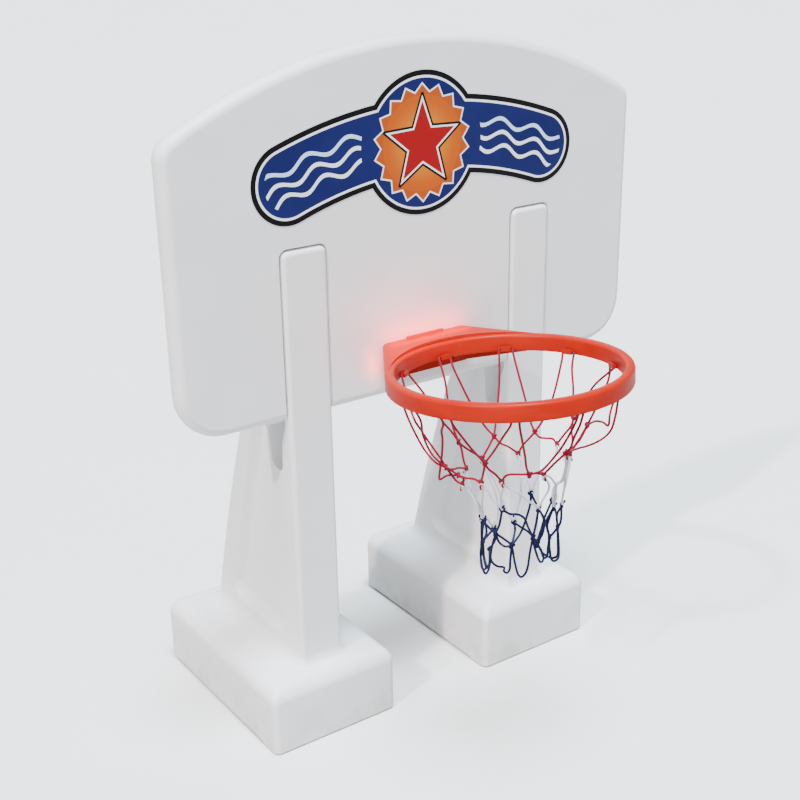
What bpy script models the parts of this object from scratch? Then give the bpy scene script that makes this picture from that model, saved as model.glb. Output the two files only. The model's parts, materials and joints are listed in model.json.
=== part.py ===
"""Pool basketball hoop: a rotomoulded backboard carried in the slots of two ballast legs,
with a moulded rim, its hooks and a knotted net in three tiers.

Metres, +Z up. The board faces -Y and +X is on the right of someone behind it.
The origin is on the floor, below the middle of the whole object.
"""
import math

import bmesh
import bpy
from mathutils import Matrix, Vector

# Fits and cuts
GAP = 0.0003                    # between pieces that touch
OVERRUN = 0.004                 # how far a cutter passes the face that it opens
WELD = 0.00001

# Backboard
BOARD_WIDTH = 1.118
BOARD_HEIGHT = 0.711
BOARD_BOTTOM = 0.720
BOARD_THICKNESS = 0.045
BOARD_ARCH_RADIUS = 1.10
BOARD_TOP_CORNER = 0.045
BOARD_LOW_CORNER = 0.095
BOARD_EDGE_ROUND = 0.019
CHANNEL_CLEARANCE = 0.0022      # the line that shows round each strip
CHANNEL_LIP = 0.006             # rounding of the channel's mouth
DIMPLE_MOUTH_RADIUS = 0.019
DIMPLE_FLOOR_RADIUS = 0.008
DIMPLE_DEPTH = 0.021
DIMPLE_COLUMNS = 7
DIMPLE_ROWS = 3
DIMPLE_MARGIN = 0.095

# Legs
LEG_CENTRE_SHARE = 0.2496       # of the board's width, from its middle to the middle of a leg
POST_WIDTH = 0.100
POST_EDGE_ROUND = 0.010         # front edges of strip and post
WEB_EDGE_ROUND = 0.006
STRIP_PROUD = 0.004             # the strip's face stands this far in front of the board
STRIP_THICKNESS = 0.022
STRIP_RISE_SHARE = 0.478        # of the board's height, from its foot to the strip's top
STRIP_CORNER = 0.014
RISER_RISE_SHARE = 0.310        # of the board's height, from its foot to the riser's top
RISER_TIP = 0.038               # depth of the riser at its top
WEB_REAR = 0.364                # rear edge of the web, behind the board's face
WEB_REAR_HEIGHT = 0.200
WEB_BOW = 0.017
WEB_STEPS = 9
POST_DEPTH = 0.0395             # front to back, below the board
SLOT_MOUTH_DROP = 0.018         # below the board's foot, where the strip begins to thicken
SLOT_NECK_DROP = 0.060          # and where it is as thick as the post
SLOT_DEPTH = 0.122              # the slot goes this far below the board's foot
SLOT_REAR = 0.0864              # its rear wall, behind the board's face
SLOT_REAR_DROP = 0.038
SLOT_LEAN = 0.0055              # its rear wall draws in this much to where the round starts
SLOT_ROUND = 0.022
SEAT_TOE = 0.017                # the riser's toe that the board stands on
SEAT_TOE_HEIGHT = 0.008
BASE_FRONT = 0.054              # in front of the board's face
BASE_REAR = 0.441               # behind it
BASE_WIDTH = 0.305
BASE_HEIGHT = 0.156
BASE_TOP_ROUND = 0.035
BASE_CORNER_ROUND = 0.014
BASE_FOOT_ROUND = 0.004
FRONT_PAD = 0.055
REAR_PAD = 0.034
PAD_LIFT = 0.007
FLARE = 0.026                   # hollow fillet between the web and the base's top
FRONT_FLARE_SHARE = 0.5
TOP_CORNER_LOSS_SHARE = 0.5
ROUND_STEPS = 5
PANEL_DEPTH = 0.022
PANEL_SLOPE = 0.016             # its sides draw in this much from the flank to its floor
PANEL_LEDGE = 0.026             # and its foot this much
PANEL_CORNER = 0.036
PANEL_TOP_CORNER_SHARE = 0.4    # of the panel's width at its top
PANEL_TOP_DRAW_SHARE = 0.3
PANEL_FRONT = 0.050             # from the board's face back to the panel's lower front corner
PANEL_SLOT_MARGIN = 0.010       # from the slot back to its upper front corner
PANEL_BOTTOM = 0.195
PANEL_TOP_DROP = 0.030          # below the board's foot
PANEL_REAR_MARGIN_LOW = 0.062
PANEL_REAR_MARGIN_HIGH = 0.046

# Bolts that hold the board to the legs, and the rim to the board
BOLT_RADIUS = 0.004
BOLT_HEAD_FLATS = 0.013
BOLT_HEAD_HEIGHT = 0.0053
WASHER_RADIUS = 0.0095
WASHER_THICKNESS = 0.0016
HOLE_CLEARANCE = 0.0006
INSERT_RADIUS = 0.0065
INSERT_LENGTH = 0.014
INSERT_CUT_CLEARANCE = 0.0003
THREAD_REACH = 0.011            # how deep a bolt stands in its insert
POCKET_RADIUS = 0.0135
POCKET_FLOOR = 0.022            # riser wall left under a bolt's washer
LEG_BOLT_LOW_SHARE = 0.30       # of the riser's rise
LEG_BOLT_HIGH_SHARE = 0.75
RIM_BOLT_SPREAD = 0.150
RIM_BOLT_RISE = 0.040
RIM_BOLT_LOW = 0.774

# Rim
RING_INNER_RADIUS = 0.2180
RING_WALL = 0.0203
RING_HEIGHT = 0.0354
RING_TOP_ROUND = 0.0070
RING_BOTTOM_ROUND = 0.0040
RING_GROOVE_WIDTH = 0.009
RING_GROOVE_DEPTH = 0.012
RING_SETBACK = 0.2745           # from the board's face to the ring's centre
RING_MID_HEIGHT = 0.8255
RING_RAKE = math.radians(4.1)   # the front of the ring stands a little high
RING_STEPS = 60
BRACKET_HALF_WIDTH = 0.1035
BRACKET_TANGENT_X = 0.1975      # where its sides run into the ring
BRACKET_TANGENT_Y = 0.1430
BRACKET_RISE = 0.010            # its top climbs this much towards the board
BRACKET_DROP = 0.032            # back wall below the ring's underside
BRACKET_WALL = 0.0055
BRACKET_BACK_WALL = 0.0085
BRACKET_TOP_WALL = 0.0055
BRACKET_EDGE_ROUND = 0.008
LIP_WIDTH = 0.090
LIP_DEPTH = 0.006
LIP_HEIGHT = 0.004
BOSS_RADIUS = 0.0095
BOSS_LENGTH = 0.018
PLATE_WIDTH = 0.200
PLATE_HEIGHT = 0.078
PLATE_THICKNESS = 0.003
PLATE_CORNER = 0.010

# Net hooks on the ring's inner wall
HOOK_COUNT = 10
HOOK_PHASE = math.radians(16.5)
HOOK_WIDTH = 0.020
HOOK_FLOOR = 0.0030
HOOK_LIP = 0.0030
HOOK_RISE = 0.0100
HOOK_SLOT = 0.0060

# Net: radius and depth below the ring's middle, row by row
CORD_RADIUS = 0.0018
KNOT_HALF = 0.0042
KNOT_DEPTH = 0.0060
KNOT_TAPER = 0.0080             # from a knot's middle to where its cords are round again
NET_SHAPE = ((0.1370, 0.156), (0.1140, 0.187), (0.0760, 0.285), (0.0740, 0.343), (0.0760, 0.408))
COLOUR_STEPS = (0, 1, 2, 4)     # the row where each colour starts, and the last row
LOOP_ROUND = 0.014              # height of the round of a hanging loop
LOOP_WIDTH_SHARE = 0.34
NET_SWAY = 0.042                # the foot of the net hangs this far to +X
SWAY_POWER = 1.4
TIER_GAP = 0.0006

# Fill plugs
PORT_HEIGHT = 0.400
PORT_RADIUS = 0.0190
PORT_DEPTH = 0.034
PORT_PAD_RADIUS = 0.033
PORT_PAD_RISE = 0.004
PLUG_CLEARANCE = 0.0008
PLUG_LENGTH = 0.015
PLUG_FLANGE_RADIUS = 0.0270
PLUG_FLANGE = 0.006
PLUG_GRIP_LENGTH = 0.044
PLUG_GRIP_WIDTH = 0.010
PLUG_GRIP_HEIGHT = 0.012
PLUG_EDGE_ROUND = 0.0012
GASKET_OUTER = 0.0245
GASKET_THICKNESS = 0.003

# Sticker: a curved band with round ends that follows the board's arch, and a disc in its middle
STICKER_THICKNESS = 0.0006
STICKER_BELOW_ARCH = 0.115
STICKER_BAND = 0.155
STICKER_HALF_WIDTH = 0.385
ROUNDEL_RADIUS = 0.140
ROUNDEL_BELOW_ARCH = 0.206

COLOURS = {
    "white_plastic": ((0.78, 0.79, 0.81), 0.42, 0.0),
    "orange_plastic": ((0.87, 0.10, 0.02), 0.38, 0.0),
    "steel": ((0.55, 0.56, 0.58), 0.35, 1.0),
    "brass": ((0.60, 0.42, 0.16), 0.35, 1.0),
    "rubber": ((0.03, 0.03, 0.035), 0.70, 0.0),
    "cap_plastic": ((0.05, 0.06, 0.07), 0.45, 0.0),
    "sticker": ((0.03, 0.06, 0.28), 0.35, 0.0),
    "red_cord": ((0.45, 0.01, 0.03), 0.80, 0.0),
    "white_cord": ((0.78, 0.77, 0.80), 0.80, 0.0),
    "blue_cord": ((0.02, 0.02, 0.13), 0.80, 0.0),
}

# Worked out from the sizes above
RING_OUTER_RADIUS = RING_INNER_RADIUS + RING_WALL
RIM_REACH = (RING_SETBACK + RING_OUTER_RADIUS * math.cos(RING_RAKE)
             + (RING_HEIGHT / 2 - RING_TOP_ROUND) * math.sin(RING_RAKE))
FACE_Y = (RIM_REACH - BASE_REAR) / 2          # the board's face
BOARD_BACK_Y = FACE_Y + BOARD_THICKNESS
BOARD_TOP = BOARD_BOTTOM + BOARD_HEIGHT
LEG_CENTRE = BOARD_WIDTH * LEG_CENTRE_SHARE   # from the middle of the board to the middle of a leg
STRIP_TOP = BOARD_BOTTOM + BOARD_HEIGHT * STRIP_RISE_SHARE
RISER_RISE = BOARD_HEIGHT * RISER_RISE_SHARE
RISER_TOP = BOARD_BOTTOM + RISER_RISE
STRIP_FRONT_Y = FACE_Y - STRIP_PROUD
STRIP_BACK_Y = STRIP_FRONT_Y + STRIP_THICKNESS
CHANNEL_FLOOR_Y = STRIP_BACK_Y + GAP
RISER_FRONT_Y = BOARD_BACK_Y + GAP
RING_CENTRE = Vector((0, FACE_Y - RING_SETBACK, RING_MID_HEIGHT))
RING_TILT = Matrix.Translation(RING_CENTRE) @ Matrix.Rotation(-RING_RAKE, 4, "X")
LEG_INSERT_Y = STRIP_BACK_Y - INSERT_LENGTH   # front end of a leg insert
RIM_BACK_Y = FACE_Y - GAP
RIM_INSERT_Y = RIM_BACK_Y - GAP - INSERT_LENGTH
HOLE_RADIUS = BOLT_RADIUS + HOLE_CLEARANCE
SOCKET_RADIUS = INSERT_RADIUS + INSERT_CUT_CLEARANCE
ARCH_Z = BOARD_TOP - BOARD_ARCH_RADIUS        # centre of the board's arch
TROUGH_RADIUS = RING_INNER_RADIUS - HOOK_SLOT / 2
TROUGH_Z = -RING_HEIGHT / 2 + RING_BOTTOM_ROUND / 2 + HOOK_FLOOR + CORD_RADIUS + GAP * 2


def clear_scene():
    for item in list(bpy.data.objects):
        bpy.data.objects.remove(item, do_unlink=True)


def make_collection(name):
    group = bpy.data.collections.new(name)
    bpy.context.scene.collection.children.link(group)
    return group


def make_materials():
    made = {}
    for name, (colour, roughness, metallic) in COLOURS.items():
        material = bpy.data.materials.new(name)
        material.use_nodes = True
        shader = material.node_tree.nodes["Principled BSDF"]
        shader.inputs["Base Color"].default_value = (*colour, 1)
        shader.inputs["Roughness"].default_value = roughness
        shader.inputs["Metallic"].default_value = metallic
        made[name] = material
    return made


clear_scene()
PARTS = make_collection("pool_basketball_hoop")
CUTTERS = make_collection("cutters")
MATERIALS = make_materials()
SMOOTH_ANGLE = math.radians(32)
BEVEL_ANGLE = math.radians(31)
FLAT_ANGLE = math.radians(0.1)
ALONG_Y = Matrix.Rotation(-math.pi / 2, 4, "X")    # turns +Z to +Y
STAND = {                                          # from a flat outline's axes to the part's
    "X": Matrix(((0, 0, 1), (1, 0, 0), (0, 1, 0))),
    "Y": Matrix(((1, 0, 0), (0, 0, 1), (0, 1, 0))),
    "Z": Matrix.Identity(3),
}


def finish_mesh(bm, name):
    """A bmesh becomes a mesh with its faces outward and its round parts smooth."""
    bmesh.ops.recalc_face_normals(bm, faces=bm.faces)
    mesh = bpy.data.meshes.new(name)
    bm.to_mesh(mesh)
    bm.free()
    mesh.shade_smooth()
    mesh.set_sharp_from_angle(angle=SMOOTH_ANGLE)
    return mesh


def add_part(name, mesh, material):
    part = bpy.data.objects.new(name, mesh)
    part.data.materials.append(MATERIALS[material])
    PARTS.objects.link(part)
    return part


def add_cutter(name, bm, parent=None):
    cutter = bpy.data.objects.new(name, finish_mesh(bm, name))
    cutter.hide_render = True
    cutter.display_type = "WIRE"
    cutter.parent = parent
    CUTTERS.objects.link(cutter)
    return cutter


def add_guide(name, place, tilt):
    """An empty that pieces are parented to, tilted about X."""
    guide = bpy.data.objects.new(name, None)
    guide.location = place
    guide.rotation_euler = (tilt, 0, 0)
    CUTTERS.objects.link(guide)
    return guide


def combine(part, other, operation):
    step = part.modifiers.new(operation.lower() + "_" + other.name, "BOOLEAN")
    step.operation = operation
    step.object = other


def bevel(part, width, segments):
    step = part.modifiers.new("edges", "BEVEL")
    step.width = width
    step.segments = segments
    step.limit_method = "ANGLE"
    step.angle_limit = BEVEL_ANGLE


def arc(centre, radius, start, end, steps):
    """Points along an arc, in degrees, both ends kept."""
    points = []
    for step in range(steps + 1):
        angle = math.radians(start + (end - start) * step / steps)
        points.append((centre[0] + radius * math.cos(angle), centre[1] + radius * math.sin(angle)))
    return points


def plate(outline, start, end, along):
    """A flat outline, filled as a 2D curve and given its thickness, square to one axis."""
    curve = bpy.data.curves.new("outline", "CURVE")
    curve.dimensions = "2D"
    curve.fill_mode = "BOTH"
    curve.extrude = (end - start) / 2
    spline = curve.splines.new("POLY")
    spline.points.add(len(outline) - 1)
    for point, (across, up) in zip(spline.points, outline):
        point.co = (across, up, 0, 1)
    spline.use_cyclic_u = True
    flat = bpy.data.objects.new("outline", curve)
    CUTTERS.objects.link(flat)
    depsgraph = bpy.context.evaluated_depsgraph_get()
    mesh = bpy.data.meshes.new_from_object(flat.evaluated_get(depsgraph))
    bpy.data.objects.remove(flat, do_unlink=True)
    bm = bmesh.new()
    bm.from_mesh(mesh)
    bpy.data.meshes.remove(mesh)
    bmesh.ops.remove_doubles(bm, verts=bm.verts, dist=WELD)
    bmesh.ops.dissolve_limit(bm, angle_limit=FLAT_ANGLE, verts=bm.verts, edges=bm.edges)
    bmesh.ops.transform(bm, matrix=STAND[along], verts=bm.verts)
    shift = STAND[along] @ Vector((0, 0, (start + end) / 2))
    bmesh.ops.translate(bm, verts=bm.verts, vec=shift)
    return bm


def loft(loops):
    """Closed skin over a stack of loops with the same count of points."""
    bm = bmesh.new()
    rows = []
    for loop in loops:
        verts = [bm.verts.new(point) for point in loop]
        edges = [bm.edges.new(pair) for pair in zip(verts, verts[1:] + verts[:1])]
        rows.append((verts, edges))
    for low, high in zip(rows, rows[1:]):
        bmesh.ops.bridge_loops(bm, edges=low[1] + high[1])
    bm.faces.new(rows[0][0])
    bm.faces.new(rows[-1][0])
    return bm


def box(low, high):
    bm = bmesh.new()
    bmesh.ops.create_cube(bm, size=1)
    size = [b - a for a, b in zip(low, high)]
    middle = [(a + b) / 2 for a, b in zip(low, high)]
    bmesh.ops.scale(bm, vec=size, verts=bm.verts)
    bmesh.ops.translate(bm, vec=middle, verts=bm.verts)
    return bm


def rod(radius, start, end, sides, x=0.0, z=0.0, far_radius=None):
    """A closed cylinder along +Y from start to end, or a cone where the far radius differs."""
    far = radius if far_radius is None else far_radius
    bm = bmesh.new()
    matrix = Matrix.Translation((x, (start + end) / 2, z)) @ ALONG_Y
    bmesh.ops.create_cone(bm, cap_ends=True, segments=sides, radius1=radius, radius2=far,
                          depth=end - start, matrix=matrix)
    return bm


def gather(pieces):
    """Several closed bodies that don't meet, in one cutter."""
    whole = bmesh.new()
    for piece in pieces:
        mesh = bpy.data.meshes.new("piece")
        piece.to_mesh(mesh)
        piece.free()
        whole.from_mesh(mesh)
        bpy.data.meshes.remove(mesh)
    return whole


def rounded_rectangle(half_x, low_y, high_y, radius, steps):
    points = arc((half_x - radius, low_y + radius), radius, -90, 0, steps)
    points += arc((half_x - radius, high_y - radius), radius, 0, 90, steps)
    points += arc((-half_x + radius, high_y - radius), radius, 90, 180, steps)
    points += arc((-half_x + radius, low_y + radius), radius, 180, 270, steps)
    return points


def turned(name, profile, closed, steps, material):
    """A profile of radius and height, outer side downwards, turned about the object's own Z."""
    bm = bmesh.new()
    line = [bm.verts.new((radius, 0, height)) for radius, height in profile]
    for pair in zip(line, line[1:] + line[:1]) if closed else zip(line, line[1:]):
        bm.edges.new(pair)
    mesh = bpy.data.meshes.new(name)
    bm.to_mesh(mesh)
    bm.free()
    part = add_part(name, mesh, material)
    screw = part.modifiers.new("turn", "SCREW")
    screw.angle = 2 * math.pi
    screw.steps = steps
    screw.render_steps = steps
    screw.use_merge_vertices = True
    screw.merge_threshold = WELD
    return part


def turned_sleeve(name, outer, inner, place, length, steps, material):
    """A sleeve or washer along +Y from its place on the axis."""
    profile = ((outer, length), (outer, 0), (inner, 0), (inner, length))
    sleeve = turned(name, profile, True, steps, material)
    sleeve.location = place
    sleeve.rotation_euler = (-math.pi / 2, 0, 0)
    return sleeve


# Backboard

def board_outline():
    """Arched top and four round corners, counter-clockwise from the lower right."""
    half = BOARD_WIDTH / 2
    low = BOARD_LOW_CORNER
    top = BOARD_TOP_CORNER
    corner_x = half - top
    corner_z = ARCH_Z + math.sqrt((BOARD_ARCH_RADIUS - top) ** 2 - corner_x ** 2)
    meet = math.degrees(math.atan2(corner_z - ARCH_Z, corner_x))
    points = arc((half - low, BOARD_BOTTOM + low), low, -90, 0, 7)
    points += arc((corner_x, corner_z), top, 0, meet, 4)
    points += arc((0, ARCH_Z), BOARD_ARCH_RADIUS, meet, 180 - meet, 22)[1:-1]
    points += arc((-corner_x, corner_z), top, 180 - meet, 180, 4)
    points += arc((-half + low, BOARD_BOTTOM + low), low, 180, 270, 7)
    return points


def strip_outline(margin):
    """Front view of a strip, from under the board to its rounded top, grown by a margin."""
    half = POST_WIDTH / 2 + margin
    top = STRIP_TOP + margin
    radius = STRIP_CORNER + margin
    bottom = BOARD_BOTTOM - BOARD_EDGE_ROUND
    points = [(-half, bottom), (half, bottom)]
    points += arc((half - radius, top - radius), radius, 0, 90, 4)
    points += arc((-half + radius, top - radius), radius, 90, 180, 4)
    return points


def channel_cutter(name, centre):
    """The channel that takes a strip, with a rounded lip round its mouth."""
    mouth = arc((CHANNEL_LIP, FACE_Y + CHANNEL_LIP), CHANNEL_LIP, 180, 270, 3)
    steps = [(0, CHANNEL_FLOOR_Y)] + mouth[:-1] + [(CHANNEL_LIP, FACE_Y - OVERRUN)]
    loops = []
    for grow, depth in steps:
        outline = strip_outline(CHANNEL_CLEARANCE + grow)
        loops.append([(centre + x, depth, z) for x, z in outline])
    return add_cutter(name, loft(loops))


def dimple_places():
    """Moulding dimples on the back, clear of the risers and of the rim's plate."""
    places = []
    half = BOARD_WIDTH / 2 - DIMPLE_MARGIN
    low = BOARD_BOTTOM + DIMPLE_MARGIN
    high = BOARD_TOP - DIMPLE_MARGIN * 2
    for row in range(DIMPLE_ROWS):
        z = low + (high - low) * row / (DIMPLE_ROWS - 1)
        for column in range(DIMPLE_COLUMNS):
            x = -half + 2 * half * column / (DIMPLE_COLUMNS - 1)
            near_riser = abs(abs(x) - LEG_CENTRE) < POST_WIDTH / 2 + DIMPLE_MOUTH_RADIUS * 1.5
            near_plate = abs(x) < PLATE_WIDTH / 2 + DIMPLE_MOUTH_RADIUS
            if row < DIMPLE_ROWS - 1 and (near_riser or (row == 0 and near_plate)):
                continue
            places.append((x, z))
    return places


def leg_bolt_places():
    return [(side * LEG_CENTRE, BOARD_BOTTOM + RISER_RISE * share)
            for side in (-1, 1) for share in (LEG_BOLT_LOW_SHARE, LEG_BOLT_HIGH_SHARE)]


def rim_bolt_places():
    half = RIM_BOLT_SPREAD / 2
    return [(x, RIM_BOLT_LOW + rise) for x in (-half, half) for rise in (0, RIM_BOLT_RISE)]


def make_backboard():
    board = plate(board_outline(), FACE_Y, BOARD_BACK_Y, "Y")
    body = add_part("backboard", finish_mesh(board, "backboard"), "white_plastic")
    bevel(body, BOARD_EDGE_ROUND, 4)
    for side, name in ((-1, "left"), (1, "right")):
        combine(body, channel_cutter(name + "_channel_cut", side * LEG_CENTRE), "DIFFERENCE")
    holes = [rod(HOLE_RADIUS, FACE_Y - OVERRUN, BOARD_BACK_Y + OVERRUN, 16, x, z)
             for x, z in leg_bolt_places() + rim_bolt_places()]
    combine(body, add_cutter("board_holes_cut", gather(holes)), "DIFFERENCE")
    flare = (DIMPLE_MOUTH_RADIUS - DIMPLE_FLOOR_RADIUS) / DIMPLE_DEPTH * OVERRUN
    dimples = [rod(DIMPLE_FLOOR_RADIUS, BOARD_BACK_Y - DIMPLE_DEPTH, BOARD_BACK_Y + OVERRUN, 14, x, z,
                   DIMPLE_MOUTH_RADIUS + flare) for x, z in dimple_places()]
    combine(body, add_cutter("board_dimples_cut", gather(dimples)), "DIFFERENCE")


# Legs

def web_rear(z):
    """How far the web reaches behind the board's face at a height: a long bowed slope."""
    tip = BOARD_THICKNESS + RISER_TIP
    share = (z - WEB_REAR_HEIGHT) / (RISER_TOP - WEB_REAR_HEIGHT)
    return WEB_REAR + (tip - WEB_REAR) * share + 4 * WEB_BOW * share * (1 - share)


def slot_points():
    """The slot behind the strip, from its mouth round its foot to the toe that the board stands on."""
    post_back = STRIP_FRONT_Y + POST_DEPTH
    rear = FACE_Y + SLOT_REAR
    low_rear = rear - SLOT_LEAN
    floor = BOARD_BOTTOM - SLOT_DEPTH
    seat = BOARD_BOTTOM - GAP
    small = SLOT_ROUND / 2
    points = [(STRIP_BACK_Y, BOARD_BOTTOM - SLOT_MOUTH_DROP), (post_back, BOARD_BOTTOM - SLOT_NECK_DROP)]
    points += arc((post_back + small, floor + small), small, 180, 270, 2)
    points += arc((low_rear - SLOT_ROUND, floor + SLOT_ROUND), SLOT_ROUND, 270, 360, 3)
    points += [(rear, BOARD_BOTTOM - SLOT_REAR_DROP), (RISER_FRONT_Y - SEAT_TOE, seat - SEAT_TOE_HEIGHT),
               (RISER_FRONT_Y - SEAT_TOE, seat), (RISER_FRONT_Y, seat)]
    return points


def upright_profile():
    """Side view of the upright: strip, slot for the board, riser and sloping rear edge."""
    foot = BASE_HEIGHT - BASE_TOP_ROUND
    points = [(STRIP_FRONT_Y, foot), (STRIP_FRONT_Y, STRIP_TOP), (STRIP_BACK_Y, STRIP_TOP)]
    points += slot_points() + [(RISER_FRONT_Y, RISER_TOP)]
    for step in range(WEB_STEPS + 1):
        z = RISER_TOP + (WEB_REAR_HEIGHT - RISER_TOP) * step / WEB_STEPS
        points.append((FACE_Y + web_rear(z), z))
    points.append((FACE_Y + web_rear(foot), foot))
    return points


def make_upright(name, centre):
    """The upright from its side view, with its strip's top corners and its outer edges rounded."""
    half = POST_WIDTH / 2
    bm = plate(upright_profile(), centre - half, centre + half, "X")
    corners = [edge for edge in bm.edges
               if all(abs(vert.co.z - STRIP_TOP) < WELD for vert in edge.verts)
               and abs(edge.verts[0].co.x - edge.verts[1].co.x) < WELD]
    bmesh.ops.bevel(bm, geom=corners, offset=STRIP_CORNER, segments=4, profile=0.5, affect="EDGES")
    bmesh.ops.recalc_face_normals(bm, faces=bm.faces)

    def at_front(vert):
        return vert.co.y < STRIP_FRONT_Y + WELD

    def at_rear(vert):
        return vert.co.y > FACE_Y + web_rear(vert.co.z) - WELD

    for here, width in ((at_front, POST_EDGE_ROUND), (at_rear, WEB_EDGE_ROUND)):
        edges = [edge for edge in bm.edges if edge.calc_face_angle_signed() > BEVEL_ANGLE
                 and all(here(vert) for vert in edge.verts)]
        bmesh.ops.bevel(bm, geom=edges, offset=width, segments=4, profile=0.5, affect="EDGES")
    return finish_mesh(bm, name)


def make_base(centre):
    """The ballast tank and the hollow fillet that the upright grows out of, as one stack of loops."""
    half = BASE_WIDTH / 2
    front, rear = FACE_Y - BASE_FRONT, FACE_Y + BASE_REAR
    loops = []

    def add(inset, z, corner):
        loops.append([(centre + x, y, z) for x, y in
                      rounded_rectangle(half - inset, front + inset, rear - inset, corner, 3)])

    add(BASE_FOOT_ROUND, 0, BASE_CORNER_ROUND - BASE_FOOT_ROUND)
    add(0, BASE_FOOT_ROUND, BASE_CORNER_ROUND)
    for step in range(ROUND_STEPS + 1):
        angle = math.pi / 2 * step / ROUND_STEPS
        inset = BASE_TOP_ROUND * (1 - math.cos(angle))
        corner = BASE_CORNER_ROUND * (1 - inset / BASE_TOP_ROUND * TOP_CORNER_LOSS_SHARE)
        add(inset, BASE_HEIGHT - BASE_TOP_ROUND * (1 - math.sin(angle)), corner)
    for step in range(ROUND_STEPS + 1):
        angle = math.pi / 2 * step / ROUND_STEPS
        grow = FLARE * (1 - math.sin(angle)) - GAP
        z = BASE_HEIGHT + FLARE * (1 - math.cos(angle))
        outline = rounded_rectangle(POST_WIDTH / 2 + grow, STRIP_FRONT_Y - grow * FRONT_FLARE_SHARE,
                                    FACE_Y + web_rear(z) + grow, POST_EDGE_ROUND + max(grow, 0), 3)
        loops.append([(centre + x, y, z) for x, y in outline])
    return loft(loops)


def rounded(corners, steps):
    """An outline of straight sides, each corner rounded by its own radius."""
    points = []
    for index, (across, up, radius) in enumerate(corners):
        place = Vector((across, up))
        before = (Vector(corners[index - 1][:2]) - place).normalized()
        after = (Vector(corners[(index + 1) % len(corners)][:2]) - place).normalized()
        half = before.angle(after) / 2
        centre = place + (before + after).normalized() * (radius / math.sin(half))
        start = place + before * (radius / math.tan(half)) - centre
        turn = math.degrees(math.atan2(start.y, start.x))
        points += arc(centre, radius, turn, turn + 180 - math.degrees(half * 2), steps)
    return points


def panel_outline(share):
    """Side view of the shallow panel in the web's flank, at a share of the way to its floor."""
    low = PANEL_BOTTOM + PANEL_LEDGE * share
    high = BOARD_BOTTOM - PANEL_TOP_DROP - PANEL_SLOPE * share
    draw = PANEL_SLOPE * share
    front_low = FACE_Y + PANEL_FRONT + draw
    rear_low = FACE_Y + web_rear(low) - PANEL_REAR_MARGIN_LOW - draw
    front_high = FACE_Y + SLOT_REAR + PANEL_SLOT_MARGIN
    width = FACE_Y + web_rear(high) - PANEL_REAR_MARGIN_HIGH - front_high
    front_high += width * PANEL_TOP_DRAW_SHARE * share
    width *= 1 - PANEL_TOP_DRAW_SHARE * share * 2
    foot_corner = PANEL_CORNER - draw
    top_corner = width * PANEL_TOP_CORNER_SHARE
    return rounded([(front_low, low, foot_corner), (rear_low, low, foot_corner),
                    (front_high + width, high, top_corner), (front_high, high, top_corner)], 3)


def panel_cutter(name, centre, side):
    """A shallow dish with soft sloping sides, cut in one flank."""
    flank = centre + side * POST_WIDTH / 2
    stages = ((OVERRUN, 0), (0, 0), (-PANEL_DEPTH / 3, 1 / 3), (-PANEL_DEPTH * 5 / 6, 2 / 3),
              (-PANEL_DEPTH, 1))
    loops = [[(flank + side * out, y, z) for y, z in panel_outline(share)] for out, share in stages]
    return add_cutter(name, loft(loops))


def add_port(centre, name):
    """An empty on a fill port's axis: its +Y points out of the web's rear edge."""
    fall = web_rear(PORT_HEIGHT - PORT_PAD_RADIUS) - web_rear(PORT_HEIGHT + PORT_PAD_RADIUS)
    place = (centre, FACE_Y + web_rear(PORT_HEIGHT), PORT_HEIGHT)
    return add_guide(name, place, math.atan2(fall, 2 * PORT_PAD_RADIUS))


def make_leg(side, name, port):
    centre = side * LEG_CENTRE
    leg = add_part(name + "_leg", make_upright(name + "_leg", centre), "white_plastic")
    combine(leg, add_cutter(name + "_base", make_base(centre)), "UNION")
    half = BASE_WIDTH / 2
    lift = box((centre - half - OVERRUN, FACE_Y - BASE_FRONT + FRONT_PAD, -OVERRUN),
               (centre + half + OVERRUN, FACE_Y + BASE_REAR - REAR_PAD, PAD_LIFT))
    combine(leg, add_cutter(name + "_lift_cut", lift), "DIFFERENCE")
    for flank, label in ((-1, "minus"), (1, "plus")):
        combine(leg, panel_cutter(f"{name}_panel_{label}_cut", centre, flank), "DIFFERENCE")
    pad = rod(PORT_PAD_RADIUS, PORT_PAD_RISE - PORT_DEPTH, PORT_PAD_RISE, 32)
    combine(leg, add_cutter(name + "_port_pad", pad, port), "UNION")
    bore = rod(PORT_RADIUS, PORT_PAD_RISE - PORT_DEPTH, PORT_PAD_RISE + OVERRUN, 32)
    combine(leg, add_cutter(name + "_port_cut", bore, port), "DIFFERENCE")
    seat = RISER_FRONT_Y + POCKET_FLOOR
    places = [(x, z) for x, z in leg_bolt_places() if x * side > 0]
    sockets = [rod(SOCKET_RADIUS, LEG_INSERT_Y - GAP, STRIP_BACK_Y + OVERRUN, 16, x, z)
               for x, z in places]
    holes = [rod(HOLE_RADIUS, RISER_FRONT_Y - OVERRUN, seat + OVERRUN, 16, x, z) for x, z in places]
    combine(leg, add_cutter(name + "_bolt_cut", gather(sockets + holes)), "DIFFERENCE")
    pockets = [rod(POCKET_RADIUS, seat, FACE_Y + WEB_REAR, 20, x, z) for x, z in places]
    combine(leg, add_cutter(name + "_pocket_cut", gather(pockets)), "DIFFERENCE")


# Fasteners

def make_bolt(name, x, z, tip, under_head):
    """A hexagon bolt along Y with its head at the back."""
    shank = rod(BOLT_RADIUS, tip, under_head + BOLT_HEAD_HEIGHT / 2, 14, x, z)
    bolt = add_part(name, finish_mesh(shank, name), "steel")
    across_corners = BOLT_HEAD_FLATS / math.cos(math.pi / 6)
    head = rod(across_corners / 2, under_head, under_head + BOLT_HEAD_HEIGHT, 6, x, z)
    combine(bolt, add_cutter(name + "_head", head), "UNION")


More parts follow.
